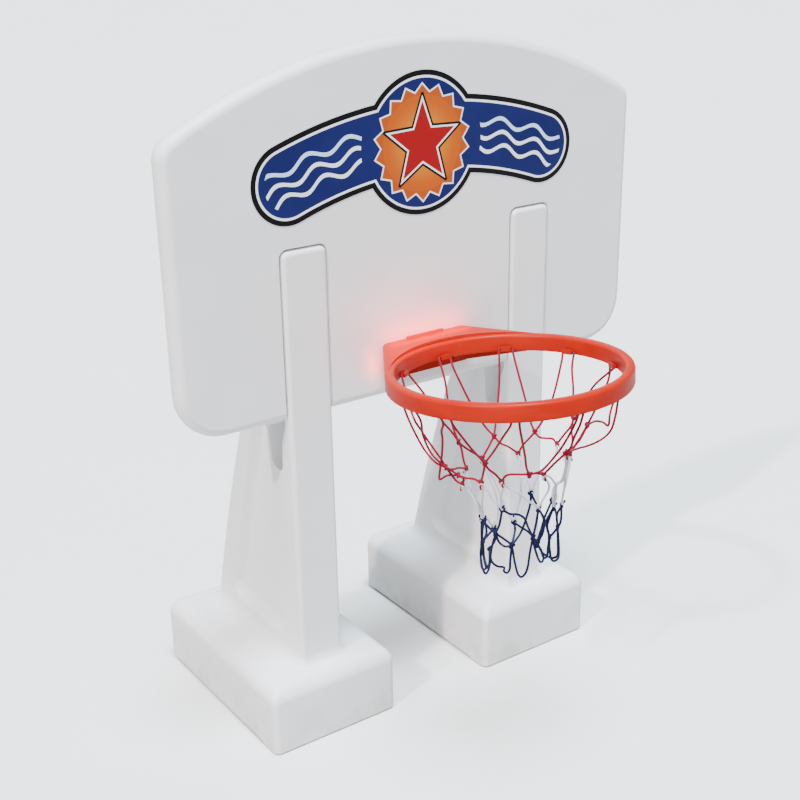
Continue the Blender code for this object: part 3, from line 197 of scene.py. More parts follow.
# Cords from a hook (H) or knot to a knot, by the photograph's pixels that they pass. The letters
# give the side of the net for each place in turn, and the last letter holds for the rest.
CORD_PIXELS = {
    "red": [
        ("H4a", "F3", "n", [(406, 413), (413.5, 430), (424, 449), (435, 462)]),
        ("H3b", "F3", "n", [(412.5, 415), (421, 430), (431, 445), (441, 459)]),
        ("H4b", "F4", "n", [(419.5, 418), (423, 435), (431, 453), (443, 465), (452, 471)]),
        ("H5a", "F4", "n", [(443, 423), (441.5, 431), (442.5, 441), (441.5, 459), (440, 470),
            (439.7, 479.5), (447, 475.5)]),
        ("H5b", "F5", "n", [(452.5, 424), (462, 437), (472, 449.5), (481, 459)]),
        ("H6a", "F5", "n", [(511, 424), (503, 437), (494, 451)]),
        ("H6b", "F6", "n", [(519.5, 424), (522, 440), (525, 456), (526.5, 468)]),
        ("H7a", "F6", "n", [(578.5, 414), (573, 428), (562, 447), (551, 461), (541, 471)]),
        ("H7b", "F7", "n", [(584, 412), (580, 425), (573.5, 439), (571, 447)]),
        ("H8b", "F7", "f", [(618, 401), (616, 413), (612, 428), (606, 436), (597, 442), (587, 446),
            (578, 448.5)]),
        ("H8a", "F8", "n", [(613.5, 402), (610, 414), (608.3, 425.5), (603, 422.3), (595, 421.3)]),
        ("H9b", "F8", "f", [(608, 381), (595, 410)]),
        ("H9a", "F9", "f", [(593, 387), (579, 413)]),
        ("H0a", "F9", "f", [(572, 368), (573.3, 392), (571.5, 413)]),
        ("H0b", "F0", "f", [(561.5, 362), (553, 397), (543, 420)]),
        ("H1a", "F0", "f", [(516, 365), (525.5, 400), (531, 423)]),
        ("H1b", "F1", "f", [(499.5, 375), (498, 401), (495.5, 425)]),
        ("H2a", "F1", "f", [(453, 367), (460.5, 383), (470, 402), (484, 425)]),
        ("H2b", "F2", "f", [(445, 381), (448, 401), (452.7, 426)]),
        ("H3a", "F2", "f", [(418, 386), (427, 398), (444, 423), (451, 431)]),
        ("F0", "J0", "f", [(539, 437), (546, 438.3), (552.5, 438.8)]),
        ("F0", "J1", "f", [(531, 436.5), (523, 445)]),
        ("F1", "J1", "f", [(500, 443), (508, 446.5), (514, 450.5)]),
        ("F1", "J2", "f", [(489, 446)]),
        ("F2", "J2", "f", [(463, 446), (472, 452)]),
        ("F2", "J3", "f", [(461.5, 449), (463.5, 460)]),
        ("F3", "J3", "nf", [(452, 469.3), (459, 467.8)]),
        ("F3", "J4", "n", [(451, 474), (456.5, 481)]),
        ("F4", "J4", "n", [(463.6, 478.5)]),
        ("F4", "J5", "n", [(466, 478), (474, 479)]),
        ("F5", "J5", "n", [(483.5, 472)]),
        ("F5", "J6", "n", [(488, 468.5), (495.5, 474.5)]),
        ("F6", "J6", "n", [(519, 474.4), (509, 474.6), (504.5, 477)]),
        ("F6", "J7", "n", [(536, 473.3)]),
        ("F7", "J7", "n", [(556, 462), (547, 471)]),
        ("F7", "J8", "n", [(566.5, 453.5)]),
        ("F8", "J8", "f", [(578, 441), (571.5, 449.5)]),
        ("F8", "J9", "f", [(581, 438), (573.5, 448)]),
        ("F9", "J9", "f", [(571.5, 429), (572.5, 441)]),
        ("F9", "J0", "f", [(571, 426), (563, 436)]),
    ],
    "white": [
        ("J8", "W8", "n", [(568, 460), (566, 470), (565, 480), (564, 490), (562.5, 498)]),
        ("J9", "W8", "f", [(570, 463), (568, 473), (565.5, 484), (563, 494)]),
        ("J9", "W9", "f", [(569.5, 462), (567, 472), (563, 480), (558, 483), (556, 490), (556.5, 499)]),
        ("J8", "W7", "n", [(566, 462), (564.5, 472), (561, 481), (556, 483.5), (554.5, 490), (553, 499)]),
        ("J7", "W7", "n", [(549, 476.5), (553, 480.5), (555.5, 486), (556, 494), (555, 502)]),
        ("J7", "W6", "n", [(546, 479), (549, 485), (548, 491), (544.5, 497), (541, 503)]),
        ("J0", "W9", "f", [(560, 452), (565, 462), (567, 471), (562.5, 481), (556.5, 484), (553, 490)]),
        ("J0", "W0", "f", [(556, 453), (551, 461), (541, 471), (535, 482)]),
        ("J1", "W0", "f", [(522, 463), (527, 478), (530, 487)]),
        ("J1", "W1", "f", [(520, 470), (521, 485), (520, 499), (517, 510)]),
        ("J2", "W1", "f", [(489, 470), (496, 484), (501, 497), (507, 511)]),
        ("J2", "W2", "f", [(487, 472), (494, 489), (498, 505), (497.5, 518)]),
        ("J3", "W2", "f", [(468, 478), (471, 489), (477, 500), (483, 512), (488, 520)]),
        ("J3", "W3", "f", [(467.5, 477), (470, 487), (475, 497), (479, 509)]),
        ("J4", "W3", "nnnf", [(466, 489), (471, 493), (475, 501), (479.5, 510), (483, 515)]),
        ("J4", "W4", "n", [(465.5, 488.5), (472, 496), (476.5, 506), (480, 514)]),
        ("J5", "W4", "n", [(482.5, 489), (482.5, 497), (482, 505), (482.5, 512)]),
        ("J5", "W5", "n", [(485, 488), (489, 493), (492, 498), (496, 502), (499.5, 506)]),
        ("J6", "W5", "n", [(503, 487), (502, 492), (500.5, 498), (501, 504)]),
        ("J6", "W6", "n", [(505, 485), (509, 488), (514, 490.5), (519, 493), (524.5, 498), (530, 502),
            (535, 505)]),
    ],
    "navy": [
        ("W5", "N5", "n", [(499.5, 524)]),
        ("W4", "N5", "n", [(488, 526.5)]),
        ("W4", "N4", "n", [(481.5, 530)]),
        ("W3", "N4", "f", [(482.5, 530)]),
        ("W3", "N3", "f", [(486.5, 532)]),
        ("W2", "N3", "f", [(489, 534)]),
        ("W2", "N2", "f", [(495, 540)]),
        ("W1", "N0", "f", [(521.5, 527.5), (529, 532.5)]),
        ("W1", "N1", "f", [(515, 530)]),
        ("W0", "N1", "f", [(530, 505), (525, 522), (520, 534)]),
        ("W0", "N8", "fffn", [(535.5, 502.5), (540, 511), (544, 520), (547.5, 529)]),
        ("W9", "N0", "f", [(545, 516.5), (541.5, 528)]),
        ("W9", "N9", "f", [(556, 513)]),
        ("W8", "N9", "f", [(557, 515)]),
        ("W8", "N8", "n", [(560.5, 522), (555, 531)]),
        ("W7", "N8", "n", [(549, 519), (547, 528)]),
        ("W7", "N7", "n", [(545.5, 522), (540, 536)]),
        ("W6", "N7", "n", [(544, 519), (543, 532)]),
        ("W6", "N6", "n", [(536, 524)]),
        ("W5", "N6", "n", [(510, 514), (518, 514.5), (524.5, 518.5), (528, 527)]),
        ("N5", "N6", "n", [(504, 539), (511.5, 546), (514.5, 561), (517.5, 573), (521, 577), (525, 574),
            (527.7, 567), (530, 552)]),
        ("N4", "N5", "n", [(480.6, 554), (482, 566), (483.7, 571.5), (485.7, 573.5), (488, 571),
            (490, 563), (491.5, 549)]),
        ("N1", "N2", "f", [(510.3, 560), (509.7, 569), (507, 573), (503.7, 571), (504.3, 567.3),
            (497.5, 566.3), (491.5, 561)]),
        ("N2", "N3", "f", [(489.5, 560), (488.5, 566), (486, 567), (483, 553)]),
        ("N3", "N4", "ffn", [(484, 556), (486.5, 568), (482, 568), (480.8, 556)]),
        ("N6", "N7", "n", [(535, 549), (540, 562), (543.5, 559), (541, 550)]),
        ("N7", "N8", "n", [(541, 551), (543.8, 558), (547, 556), (548, 547)]),
        ("N8", "N9", "nnnf", [(549.5, 548), (551.5, 559.5), (555.5, 560.5), (558.7, 556), (558.5, 540)]),
        ("N9", "N0", "f", [(557.8, 545), (557.5, 555), (553, 558), (547, 556), (542, 552)]),
        ("N1", "N5", "fn", [(505, 546.5), (499, 542)]),
    ],
}

# Camera

def place_camera():
    lens = bpy.data.cameras.new("camera")
    lens.sensor_width = SENSOR_WIDTH
    lens.lens = FOCAL_LENGTH
    lens.shift_x, lens.shift_y = CAMERA_SHIFT
    lens.clip_end = CAMERA_REACH
    camera = bpy.data.objects.new("camera", lens)
    camera.location = CAMERA_PLACE
    camera.rotation_euler = [math.radians(angle) for angle in CAMERA_TURN]
    bpy.context.scene.collection.objects.link(camera)
    bpy.context.scene.camera = camera
    return camera


# Materials

class Wire:
    """A value on its way through a material, with arithmetic."""

    def __init__(self, paint, socket):
        self.paint = paint
        self.socket = socket

    def join(self, operation, *values):
        return self.paint.node("Math", {"operation": operation}, dict(enumerate(values)))

    def __add__(self, other):
        return self.join("ADD", self, other)

    def __sub__(self, other):
        return self.join("SUBTRACT", self, other)

    def __rsub__(self, other):
        return self.join("SUBTRACT", other, self)

    def __mul__(self, other):
        return self.join("MULTIPLY", self, other)

    __radd__ = __add__
    __rmul__ = __mul__

    def __abs__(self):
        return self.join("ABSOLUTE", self)

    def lower(self, other):
        return self.join("MINIMUM", self, other)

    def upper(self, other):
        return self.join("MAXIMUM", self, other)

    def wave(self):
        return self.join("SINE", self)

    def cosine(self):
        return self.join("COSINE", self)

    def root(self):
        return self.join("SQRT", self)

    def fold(self, width):
        """Up and down between 0 and the width."""
        return self.join("PINGPONG", self, width)

    def angle(self, other):
        """The angle of a place whose distances are self to the side and other ahead."""
        return self.join("ARCTAN2", self, other)

    def rise(self, start, end):
        """0 below start and 1 above end, with a smooth change between them."""
        return self.paint.node("MapRange", {"interpolation_type": "SMOOTHSTEP"},
                               {"Value": self, "From Min": start, "From Max": end})

    def fall(self, start, end):
        return 1 - self.rise(start, end)


class Paint:
    """One material under construction."""

    def __init__(self, name, **fixed):
        self.material = bpy.data.materials.new(name)
        self.material.use_nodes = True
        self.tree = self.material.node_tree
        self.shader = self.tree.nodes["Principled BSDF"]
        for label, value in fixed.items():
            self.shader.inputs[label.replace("_", " ")].default_value = value

    def node(self, kind, settings, values, output=0):
        made = self.tree.nodes.new("ShaderNode" + kind)
        for label, value in settings.items():
            setattr(made, label, value)
        for label, value in values.items():
            if isinstance(value, Wire):
                self.tree.links.new(value.socket, made.inputs[label])
            else:
                made.inputs[label].default_value = value
        return Wire(self, made.outputs[output])

    def place(self, scale=(1, 1, 1)):
        point = self.node("TexCoord", {}, {}, "Object")
        if scale == (1, 1, 1):
            return point
        return self.node("VectorMath", {"operation": "MULTIPLY"}, {0: point, 1: scale})

    def axes(self):
        point = self.place()
        return [self.node("SeparateXYZ", {}, {0: point}, axis) for axis in "XYZ"]

    def noise(self, scale, detail=2.0, stretch=(1, 1, 1), roughness=0.5):
        return self.node("TexNoise", {}, {"Vector": self.place(stretch), "Scale": scale,
                                          "Detail": detail, "Roughness": roughness})

    def tone(self, share, first, second):
        """Between two colours, each given as three numbers or a wire."""
        first, second = [end if isinstance(end, Wire) else (*end, 1) for end in (first, second)]
        return self.node("Mix", {"data_type": "RGBA"}, {0: share, 6: first, 7: second}, 2)

    def set(self, label, wire):
        self.tree.links.new(wire.socket, self.shader.inputs[label])

    def bump(self, *layers):
        """Each layer is a height and its distance."""
        normal = None
        for height, distance in layers:
            values = {"Height": height, "Strength": 1.0, "Distance": distance}
            if normal:
                values["Normal"] = normal
            normal = self.node("Bump", {}, values)
        self.set("Normal", normal)


def white_plastic():
    """Rotomoulded polyethylene: soft ripple, fine orange peel, faint mottling, scuffs, grey foot."""
    paint = Paint("rotomoulded_white", Specular_IOR_Level=0.45)
    _, y, z = paint.axes()
    mottle = paint.noise(7.0, 3.0)
    speck = paint.noise(260.0, 2.0)
    scuff = paint.noise(38.0, 6.0, (1, 1, 0.25), 0.7).rise(0.63, 0.74)
    grime = paint.noise(16.0, 5.0).rise(0.38, 0.75) * z.fall(0.0, 0.12)
    colour = paint.tone(mottle.rise(0.3, 0.7), (0.800, 0.803, 0.815), (0.838, 0.838, 0.838))
    colour = paint.tone(scuff * 0.22, colour, (0.62, 0.62, 0.63))
    colour = paint.tone(grime * 0.42, colour, (0.42, 0.39, 0.35))
    paint.set("Base Color", colour)
    paint.set("Roughness", 0.36 + mottle * 0.10 + speck * 0.06 + scuff * 0.12 + grime * 0.2)
    board_middle = (BOARD_LOW[1] + BOARD_HIGH[1]) / 2
    seam = abs(y - board_middle).fall(0.0003, 0.0011) * z.rise(1.08, 1.09)
    paint.bump((paint.noise(9.0, 1.0), 0.0016), (paint.noise(420.0, 1.0), 0.00010),
               (paint.noise(1300.0, 1.0), 0.00004), (seam, 0.0003), (scuff, 0.00003))
    return paint.material


def orange_plastic():
    """Injection-moulded rim: bright orange-red, satin, with flow marks and small rubs."""
    paint = Paint("moulded_orange", Specular_IOR_Level=0.11)
    flow = paint.noise(14.0, 4.0, (1, 1, 3))
    rub = paint.noise(60.0, 6.0, (1, 1, 1), 0.7).rise(0.64, 0.72)
    colour = paint.tone(flow.rise(0.3, 0.7), (0.35, 0.008, 0.0004), (0.39, 0.012, 0.0008))
    colour = paint.tone(rub * 0.3, colour, (0.52, 0.08, 0.03))
    paint.set("Base Color", colour)
    paint.set("Roughness", 0.30 + flow * 0.12 + rub * 0.15)
    paint.bump((paint.noise(26.0, 2.0), 0.0004), (paint.noise(700.0, 1.0), 0.00004), (rub, 0.00002))
    return paint.material


def zinc_steel():
    """Zinc-plated bolts and washers, cloudy and finely brushed."""
    paint = Paint("zinc_plate", Metallic=1.0)
    cloud = paint.noise(90.0, 4.0)
    brush = paint.noise(60.0, 2.0, (18, 1, 18))
    paint.set("Base Color", paint.tone(cloud.rise(0.3, 0.7), (0.50, 0.51, 0.53), (0.66, 0.66, 0.65)))
    paint.set("Roughness", 0.26 + cloud * 0.22)
    paint.bump((brush, 0.00005), (paint.noise(900.0, 1.0), 0.00002))
    return paint.material


def brass():
    """Turned inserts, with the tool's fine rings."""
    paint = Paint("turned_brass", Metallic=1.0)
    cloud = paint.noise(160.0, 3.0)
    paint.set("Base Color", paint.tone(cloud.rise(0.3, 0.7), (0.58, 0.38, 0.13), (0.70, 0.49, 0.20)))
    paint.set("Roughness", 0.25 + cloud * 0.2)
    _, y, _ = paint.axes()
    paint.bump(((y * 4200.0).wave(), 0.0001))
    return paint.material


def rubber():
    """The plugs' rings: black, dull, with a grey bloom."""
    paint = Paint("black_rubber", Specular_IOR_Level=0.35)
    bloom = paint.noise(120.0, 4.0)
    colour = paint.tone(bloom.rise(0.35, 0.75), (0.018, 0.018, 0.020), (0.050, 0.050, 0.052))
    paint.set("Base Color", colour)
    paint.set("Roughness", 0.62 + bloom * 0.2)
    paint.bump((paint.noise(1500.0, 2.0), 0.00006))
    return paint.material


def cap_plastic():
    """The fill plugs: black, grained, rubbed pale in places."""
    paint = Paint("moulded_black", Specular_IOR_Level=0.5)
    grain = paint.noise(900.0, 2.0)
    rub = paint.noise(75.0, 5.0, (1, 1, 1), 0.7).rise(0.60, 0.72)
    paint.set("Base Color", paint.tone(rub * 0.6, (0.030, 0.033, 0.038), (0.10, 0.10, 0.105)))
    paint.set("Roughness", 0.40 + grain * 0.14 + rub * 0.1)
    paint.bump((grain, 0.00008), (paint.noise(60.0, 1.0), 0.0002))
    return paint.material


def inside(distance, inset=0.0):
    """1 where a place lies further inside an edge than the inset, and 0 elsewhere."""
    return distance.fall(-inset - INK_SOFT, -inset + INK_SOFT)


def band_distance(x, up, reach):
    """How far outside the band's edge a place lies."""
    cap_up = math.sqrt(BAND_MIDDLE ** 2 - BAND_END_X ** 2)
    side = abs(x)
    cap_x = side - BAND_END_X
    cap_z = up - cap_up
    beyond = (side * cap_up - up * BAND_END_X).rise(-0.0001, 0.0001)
    middle = abs(reach - BAND_MIDDLE) * (1 - beyond) + (cap_x * cap_x + cap_z * cap_z).root() * beyond
    return middle - BAND_HALF


def star_distance(turn, from_middle, points, outer, depth):
    """How far outside a star's edge a place lies."""
    slice_angle = 2 * math.pi / points
    folded = abs(turn).fold(slice_angle / 2)
    near = from_middle * folded.cosine()
    wide = from_middle * folded.wave()
    inner = Vector((math.cos(slice_angle / 2), math.sin(slice_angle / 2))) * outer * depth
    run = (inner - Vector((outer, 0))).normalized()
    return (near - outer) * run.y - wide * run.x


def printed_sheet():
    """Printed film: black rim, white line, blue ground with waves, and a red star on an orange sun."""
    paint = Paint("printed_film", Specular_IOR_Level=0.12)
    x, _, z = paint.axes()
    up = z - ARCH_Z
    disc_z = z - ROUNDEL_Z
    reach = (x * x + up * up).root()
    from_middle = (x * x + disc_z * disc_z).root()
    band = band_distance(x, up, reach)
    disc = from_middle - ROUNDEL_RADIUS
    edge = band.lower(disc)
    grain = paint.noise(900.0, 2.0)
    shade = paint.noise(6.0, 2.0)
    blue = paint.tone(shade.rise(0.3, 0.7), (0.006, 0.009, 0.080), (0.009, 0.013, 0.100))
    ink = paint.tone(inside(edge, RIM_WIDTH), BLACK_INK, WHITE_INK)
    ink = paint.tone(inside(edge, LINE_END), ink, blue)

    along = x.angle(up) * BAND_MIDDLE
    on_band = inside(band, WAVE_INSET) * disc.rise(*ROUNDEL_FREE)
    for offset, colour in ((WAVE_GAP, PALE_BLUE_INK), (0.0, WHITE_INK), (-WAVE_GAP, WHITE_INK)):
        crest = (along * WAVE_RATE + offset * WAVE_LAG).wave() * WAVE_HEIGHT
        line = abs(reach - BAND_MIDDLE - offset - crest) - WAVE_HALF_WIDTH
        ink = paint.tone(inside(line) * on_band, ink, colour)

    turn = x.angle(disc_z)
    rays = star_distance(turn, from_middle, *RAYS)
    badge = star_distance(turn, from_middle, *BADGE)
    badge_edge = badge.upper(from_middle - BADGE_REACH)
    sun = paint.tone(from_middle.rise(*SUN_FADE), (0.60, 0.19, 0.010), (0.48, 0.085, 0.005))
    for share, colour in ((inside(disc, LINE_END), blue), (inside(rays), WHITE_INK),
                          (inside(rays, RAY_LINE), (0.42, 0.07, 0.004)),
                          (inside(from_middle - SUN_RADIUS), sun),
                          (inside(badge_edge, -BADGE_RIM), BLACK_INK),
                          (inside(badge_edge, -BADGE_LINE), WHITE_INK),
                          (inside(badge), (0.30, 0.003, 0.006))):
        ink = paint.tone(share, ink, colour)
    paint.set("Base Color", ink)
    paint.set("Roughness", 0.30 + shade * 0.10 + grain * 0.04)
    paint.bump((paint.noise(11.0, 1.0), 0.0008), (grain, 0.00003))
    return paint.material


def cord_fibre(name, painted_groove_shade, light):
    """Braided cord: slanting plaits that follow the cord's own length, with fuzz, worn patches, and
    painted shade in the grooves.
    """
    paint = Paint(name, Sheen_Weight=0.06, Sheen_Roughness=0.5, Specular_IOR_Level=0.1)
    place = paint.node("UVMap", {"uv_map": "cord"}, {})
    length, around = [paint.node("SeparateXYZ", {}, {0: place}, axis) for axis in "XY"]
    left = (length * 2200.0 + around * (8 * math.pi)).wave()
    right = (length * 2200.0 - around * (8 * math.pi)).wave()
    plait = left.upper(right)
    fuzz = paint.noise(1400.0, 3.0)
    wear = paint.noise(55.0, 3.0)
    # Painted shade: the plaits' grooves take the darker colour and their crests the lighter one
    colour = paint.tone(plait.rise(-0.6, 0.9) * 0.8 + fuzz * 0.2, painted_groove_shade, light)
    colour = paint.tone(wear.rise(0.5, 0.8) * 0.25, colour, [c * 0.8 + 0.01 for c in light])
    paint.set("Base Color", colour)
    paint.set("Roughness", 0.72 + fuzz * 0.2)
    paint.bump((plait, 0.00022), (fuzz, 0.00012))
    return paint.material


def floor_paint():
    """A pale floor that throws less light up at the object than it shows."""
    paint = Paint("pale_floor", Specular_IOR_Level=0.2)
    cloud = paint.noise(1.2, 3.0)
    thrown = paint.tone(cloud, (0.395, 0.386, 0.370), (0.415, 0.406, 0.390))
    seen = paint.tone(cloud, (0.80, 0.79, 0.77), (0.84, 0.83, 0.81))
    seen_directly = paint.node("LightPath", {}, {}, "Is Camera Ray")
    paint.set("Base Color", paint.tone(seen_directly, thrown, seen))
    paint.set("Roughness", 0.75 + cloud * 0.1)
    return paint.material


# Pieces

def add_piece(name, mesh, finish):
    mesh.materials.append(finish)
    piece = bpy.data.objects.new(name, mesh)
    bpy.context.scene.collection.objects.link(piece)
    return piece


def sheet_outline():
    """The outline of the band and the roundel together, as places on the board."""
    half = BAND_HALF - SHEET_TRIM
    round_edge = ROUNDEL_RADIUS - SHEET_TRIM
    lean = math.asin(BAND_END_X / BAND_MIDDLE)

    def arc(middle_x, middle_z, radius, start, end, steps):
        turns = [start + (end - start) * step / steps for step in range(steps + 1)]
        return [(middle_x + radius * math.sin(turn), middle_z + radius * math.cos(turn))
                for turn in turns]

    def from_roundel(radius, turn):
        """The way from the roundel's middle to a place on a band edge."""
        return radius * math.sin(turn), ARCH_Z + radius * math.cos(turn) - ROUNDEL_Z

    def crossing(radius):
        """The angle on a band edge where the roundel's edge meets it."""
        turns = [lean * step / SEARCH_STEPS for step in range(SEARCH_STEPS + 1)]
        return min(turns, key=lambda turn: abs(math.hypot(*from_roundel(radius, turn)) - round_edge))

    outer, inner = BAND_MIDDLE + half, BAND_MIDDLE - half
    high, low = crossing(outer), crossing(inner)
    cap_z = ARCH_Z + BAND_MIDDLE * math.cos(lean)
    right = arc(0, ROUNDEL_Z, round_edge, 0, math.atan2(*from_roundel(outer, high)), EDGE_STEPS)
    right += arc(0, ARCH_Z, outer, high, lean, EDGE_STEPS)[1:]
    right += arc(BAND_END_X, cap_z, half, lean, lean + math.pi, CAP_STEPS)[1:]
    right += arc(0, ARCH_Z, inner, lean, low, EDGE_STEPS)[1:]
    right += arc(0, ROUNDEL_Z, round_edge, math.atan2(*from_roundel(inner, low)), math.pi,
                 EDGE_STEPS)[1:]
    return right + [(-x, z) for x, z in right[-2:0:-1]]


def make_sheet(finish):
    """The printed film with a smoothly cut edge, in place of the frame's coarser one."""
    low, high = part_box("board_sticker")
    outline = sheet_outline()
    count = len(outline)
    front = range(count)
    corners = [(x, y, z) for y in (low[1], high[1]) for x, z in outline]
    sides = [(step, (step + 1) % count, (step + 1) % count + count, step + count) for step in front]
    mesh = bpy.data.meshes.new("printed_sheet")
    mesh.from_pydata(corners, [], [tuple(front), tuple(range(2 * count - 1, count - 1, -1))] + sides)
    sheet = add_piece("printed_sheet", mesh, finish)
    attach(sheet, "stand")
    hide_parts("board_sticker")


def body_of(name):
    """The moving body that a piece belongs to."""
    for side in ("left", "right"):
        if name.startswith(side):
            if "gasket" in name:
                return side + "_gasket"
            if "plug" in name:
                return side + "_plug"
    return "stand"


def round_off(name, finish):
    """A piece of the frame's own shape whose faces flow into each other, sharp only at real edges."""
    work = bmesh.new()
    work.from_mesh(frame["nodes"][name].data)
    bmesh.ops.remove_doubles(work, verts=work.verts, dist=WELD)
    bmesh.ops.dissolve_limit(work, angle_limit=FLAT, verts=work.verts, edges=work.edges)
    for face in work.faces:
        face.smooth = True
    for edge in work.edges:
        edge.smooth = len(edge.link_faces) == 2 and edge.calc_face_angle() < SHARP
    mesh = bpy.data.meshes.new(name + "_surface")
    work.to_mesh(mesh)
    work.free()
    piece = add_piece(name + "_surface", mesh, finish)
    even = piece.modifiers.new("even", "WEIGHTED_NORMAL")
    even.keep_sharp = True
    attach(piece, body_of(name))
    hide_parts(name)


def make_surfaces(finishes):
    """Every piece of the frame but the net and the sheet, which have makers of their own."""
    soft = ("red_cord", "white_cord", "blue_cord", "sticker")
    for row in frame["record"]["subparts"]:
        if row["material_slot"] not in soft:
            round_off(row["node"], finishes[row["material_slot"]])


# Net

class Cordage:
    """One colour of the net: round cords and knots, gathered in one mesh."""

    def __init__(self, radius):
        self.radius = radius
        self.mesh = bmesh.new()
        self.cord_map = self.mesh.loops.layers.uv.new("cord")

    def ring(self, place, side, other, radius):
        """The corners of a cord's cross-section."""
        angles = [2 * math.pi * step / CORD_SIDES for step in range(CORD_SIDES)]
        return [self.mesh.verts.new(place + (side * math.cos(angle) + other * math.sin(angle)) * radius)
                for angle in angles]

    def tube(self, path, radius, tip=1.0):
        """A round cord along a path, with closed ends that may be thinner."""
        rows = []
        run = 0.0
        side = None
        for index, place in enumerate(path):
            before = path[max(index - 1, 0)]
            after = path[min(index + 1, len(path) - 1)]
            way = (after - before).normalized()
            if side is None:
                side = way.orthogonal().normalized()
            side = (side - way * side.dot(way)).normalized()
            if index:
                run += (place - before).length
            share = tip if index in (0, len(path) - 1) else 1
            rows.append((self.ring(place, side, way.cross(side), radius * share), run))
        for (low, start), (high, end) in zip(rows, rows[1:]):
            for step in range(CORD_SIDES):
                after = (step + 1) % CORD_SIDES
                face = self.mesh.faces.new((low[step], low[after], high[after], high[step]))
                face.smooth = True
                shares = ((start, step), (start, step + 1), (end, step + 1), (end, step))
                for loop, (length, turn) in zip(face.loops, shares):
                    loop[self.cord_map].uv = (length, turn / CORD_SIDES)
        self.mesh.faces.new(rows[0][0][::-1])
        self.mesh.faces.new(rows[-1][0])

    def cord(self, points):
        self.tube(smooth_path(points), self.radius)

    def knot(self, place, up, out, size):
        """A small pulled knot: three crossing turns of the cord."""
        across = up.cross(out).normalized()
        path = []
        for step in range(KNOT_STEPS + 1):
            t = 2 * math.pi * step / KNOT_STEPS
            lobes = (math.sin(t) + KNOT_LOBE * math.sin(2 * t),
                     math.cos(t) - KNOT_LOBE * math.cos(2 * t), -math.sin(3 * t))
            u, v, w = [lobe * share for lobe, share in zip(lobes, KNOT_SHAPE)]
            path.append(place + (across * u + up * v + out * w) * size)
        self.tube(path, self.radius * KNOT_TIGHTNESS)

    def tail(self, place, way, length):
        """A loose end that stands out of a knot."""
        bend = Vector((CHANCE.uniform(-1, 1), CHANCE.uniform(-1, 1), -0.4)) * 0.3
        shares = [step / TAIL_STEPS for step in range(TAIL_STEPS + 1)]
        path = [place + (way + bend * share).normalized() * length * share for share in shares]
        self.tube(path, self.radius, TAIL_TIP)

    def piece(self, name, slot, finish, *nodes):
        bmesh.ops.recalc_face_normals(self.mesh, faces=self.mesh.faces)
        mesh = bpy.data.meshes.new(name)
        self.mesh.to_mesh(mesh)
        self.mesh.free()
        made = add_piece(name, mesh, finish)
        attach(made, "stand")
        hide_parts(*nodes)


def smooth_path(points):
    """A smooth path through the given places, about CORD_STEP from one place to the next."""
    path = [points[0]]
    guides = [points[0] * 2 - points[1]] + points + [points[-1] * 2 - points[-2]]
    for index in range(1, len(guides) - 2):
        a, b, c, d = guides[index - 1:index + 3]
        steps = max(2, round((c - b).length / CORD_STEP))
        for step in range(1, steps + 1):
            t = step / steps
            path.append(0.5 * (b * 2 + (c - a) * t + (a * 2 - b * 5 + c * 4 - d) * t ** 2
                               + (b * 3 - a - c * 3 + d) * t ** 3))
    return path


def sight(camera, across, down):
    """The way from the camera to a place in the photograph, given in pixels."""
    lens = camera.data
    right = (across / PICTURE - 0.5 + lens.shift_x) * lens.sensor_width / lens.lens
    up = (0.5 - down / PICTURE + lens.shift_y) * lens.sensor_width / lens.lens
    return (camera.rotation_euler.to_matrix() @ Vector((right, up, -1))).normalized()


def hang(camera, across, down, side, depth, spread):
    """The place on the net that the photograph shows at a pixel, close to a depth under the ring."""
    way = numpy.array(sight(camera, across, down))
    places = numpy.array(camera.location) + SIGHT_STEPS[:, None] * way
    under = RING_CENTRE.z - places[:, 2]
    swing = NET_SWING * (numpy.clip(under, 0, 1) / NET_SWING_DEPTH) ** NET_SWING_POWER
    right = places[:, 0] - RING_CENTRE.x - swing
    back = places[:, 1] - RING_CENTRE.y
    off_row = (under - depth) / spread
    off_side = (numpy.hypot(right, back) - numpy.interp(under, NET_DEPTHS, NET_RADII)) / SIDE_SPREAD
    wrong_side = (right * way[0] + back * way[1] > 0) == (side == "n")
    misfit = off_row ** 2 + off_side ** 2
    misfit += WRONG_SIDE_COST * wrong_side + TOO_LOW_COST * (under > NET_LOWEST)
    return Vector(places[int(numpy.argmin(misfit))])


def cord_seats():
    """The two places on each of the ring's hooks where cords hang."""
    tilt = Matrix.Rotation(-RING_RAKE, 3, "X")
    seats = {}
    for number in range(HOOKS):
        turn = HOOK_START + 2 * math.pi * number / HOOKS
        out = Vector((math.cos(turn), math.sin(turn), 0))
        along = Vector((-math.sin(turn), math.cos(turn), 0))
        for name, way in (("a", -1), ("b", 1)):
            place = out * SEAT_RADIUS + along * way * SEAT_HALF - Vector((0, 0, SEAT_DROP))
            seats["H%d%s" % (number, name)] = RING_CENTRE + tilt @ place
    return seats


def trace_cord(camera, ends, start, end, sides, pixels):
    """The places that a cord passes, from one of its ends to the other."""
    spread = HOOK_SPREAD if start[0] == "H" else CORD_SPREAD
    first = HOOK_DEPTH if start[0] == "H" else RING_CENTRE.z - ends[start].z
    last = RING_CENTRE.z - ends[end].z
    drop = LOOP_DROP if start[0] == end[0] == "N" else 0
    places = [ends[start]]
    for index, (across, down) in enumerate(pixels):
        share = (index + 1) / (len(pixels) + 1)
        depth = first + (last - first) * share + drop * (1 - (2 * share - 1) ** 2)
        side = sides[min(index, len(sides) - 1)]
        places.append(hang(camera, across, down, side, depth, spread))
    return places + [ends[end]]


def outward(place):
    """The level way out from the ring's middle."""
    return Vector((place.x - RING_CENTRE.x, place.y - RING_CENTRE.y, 0)).normalized()


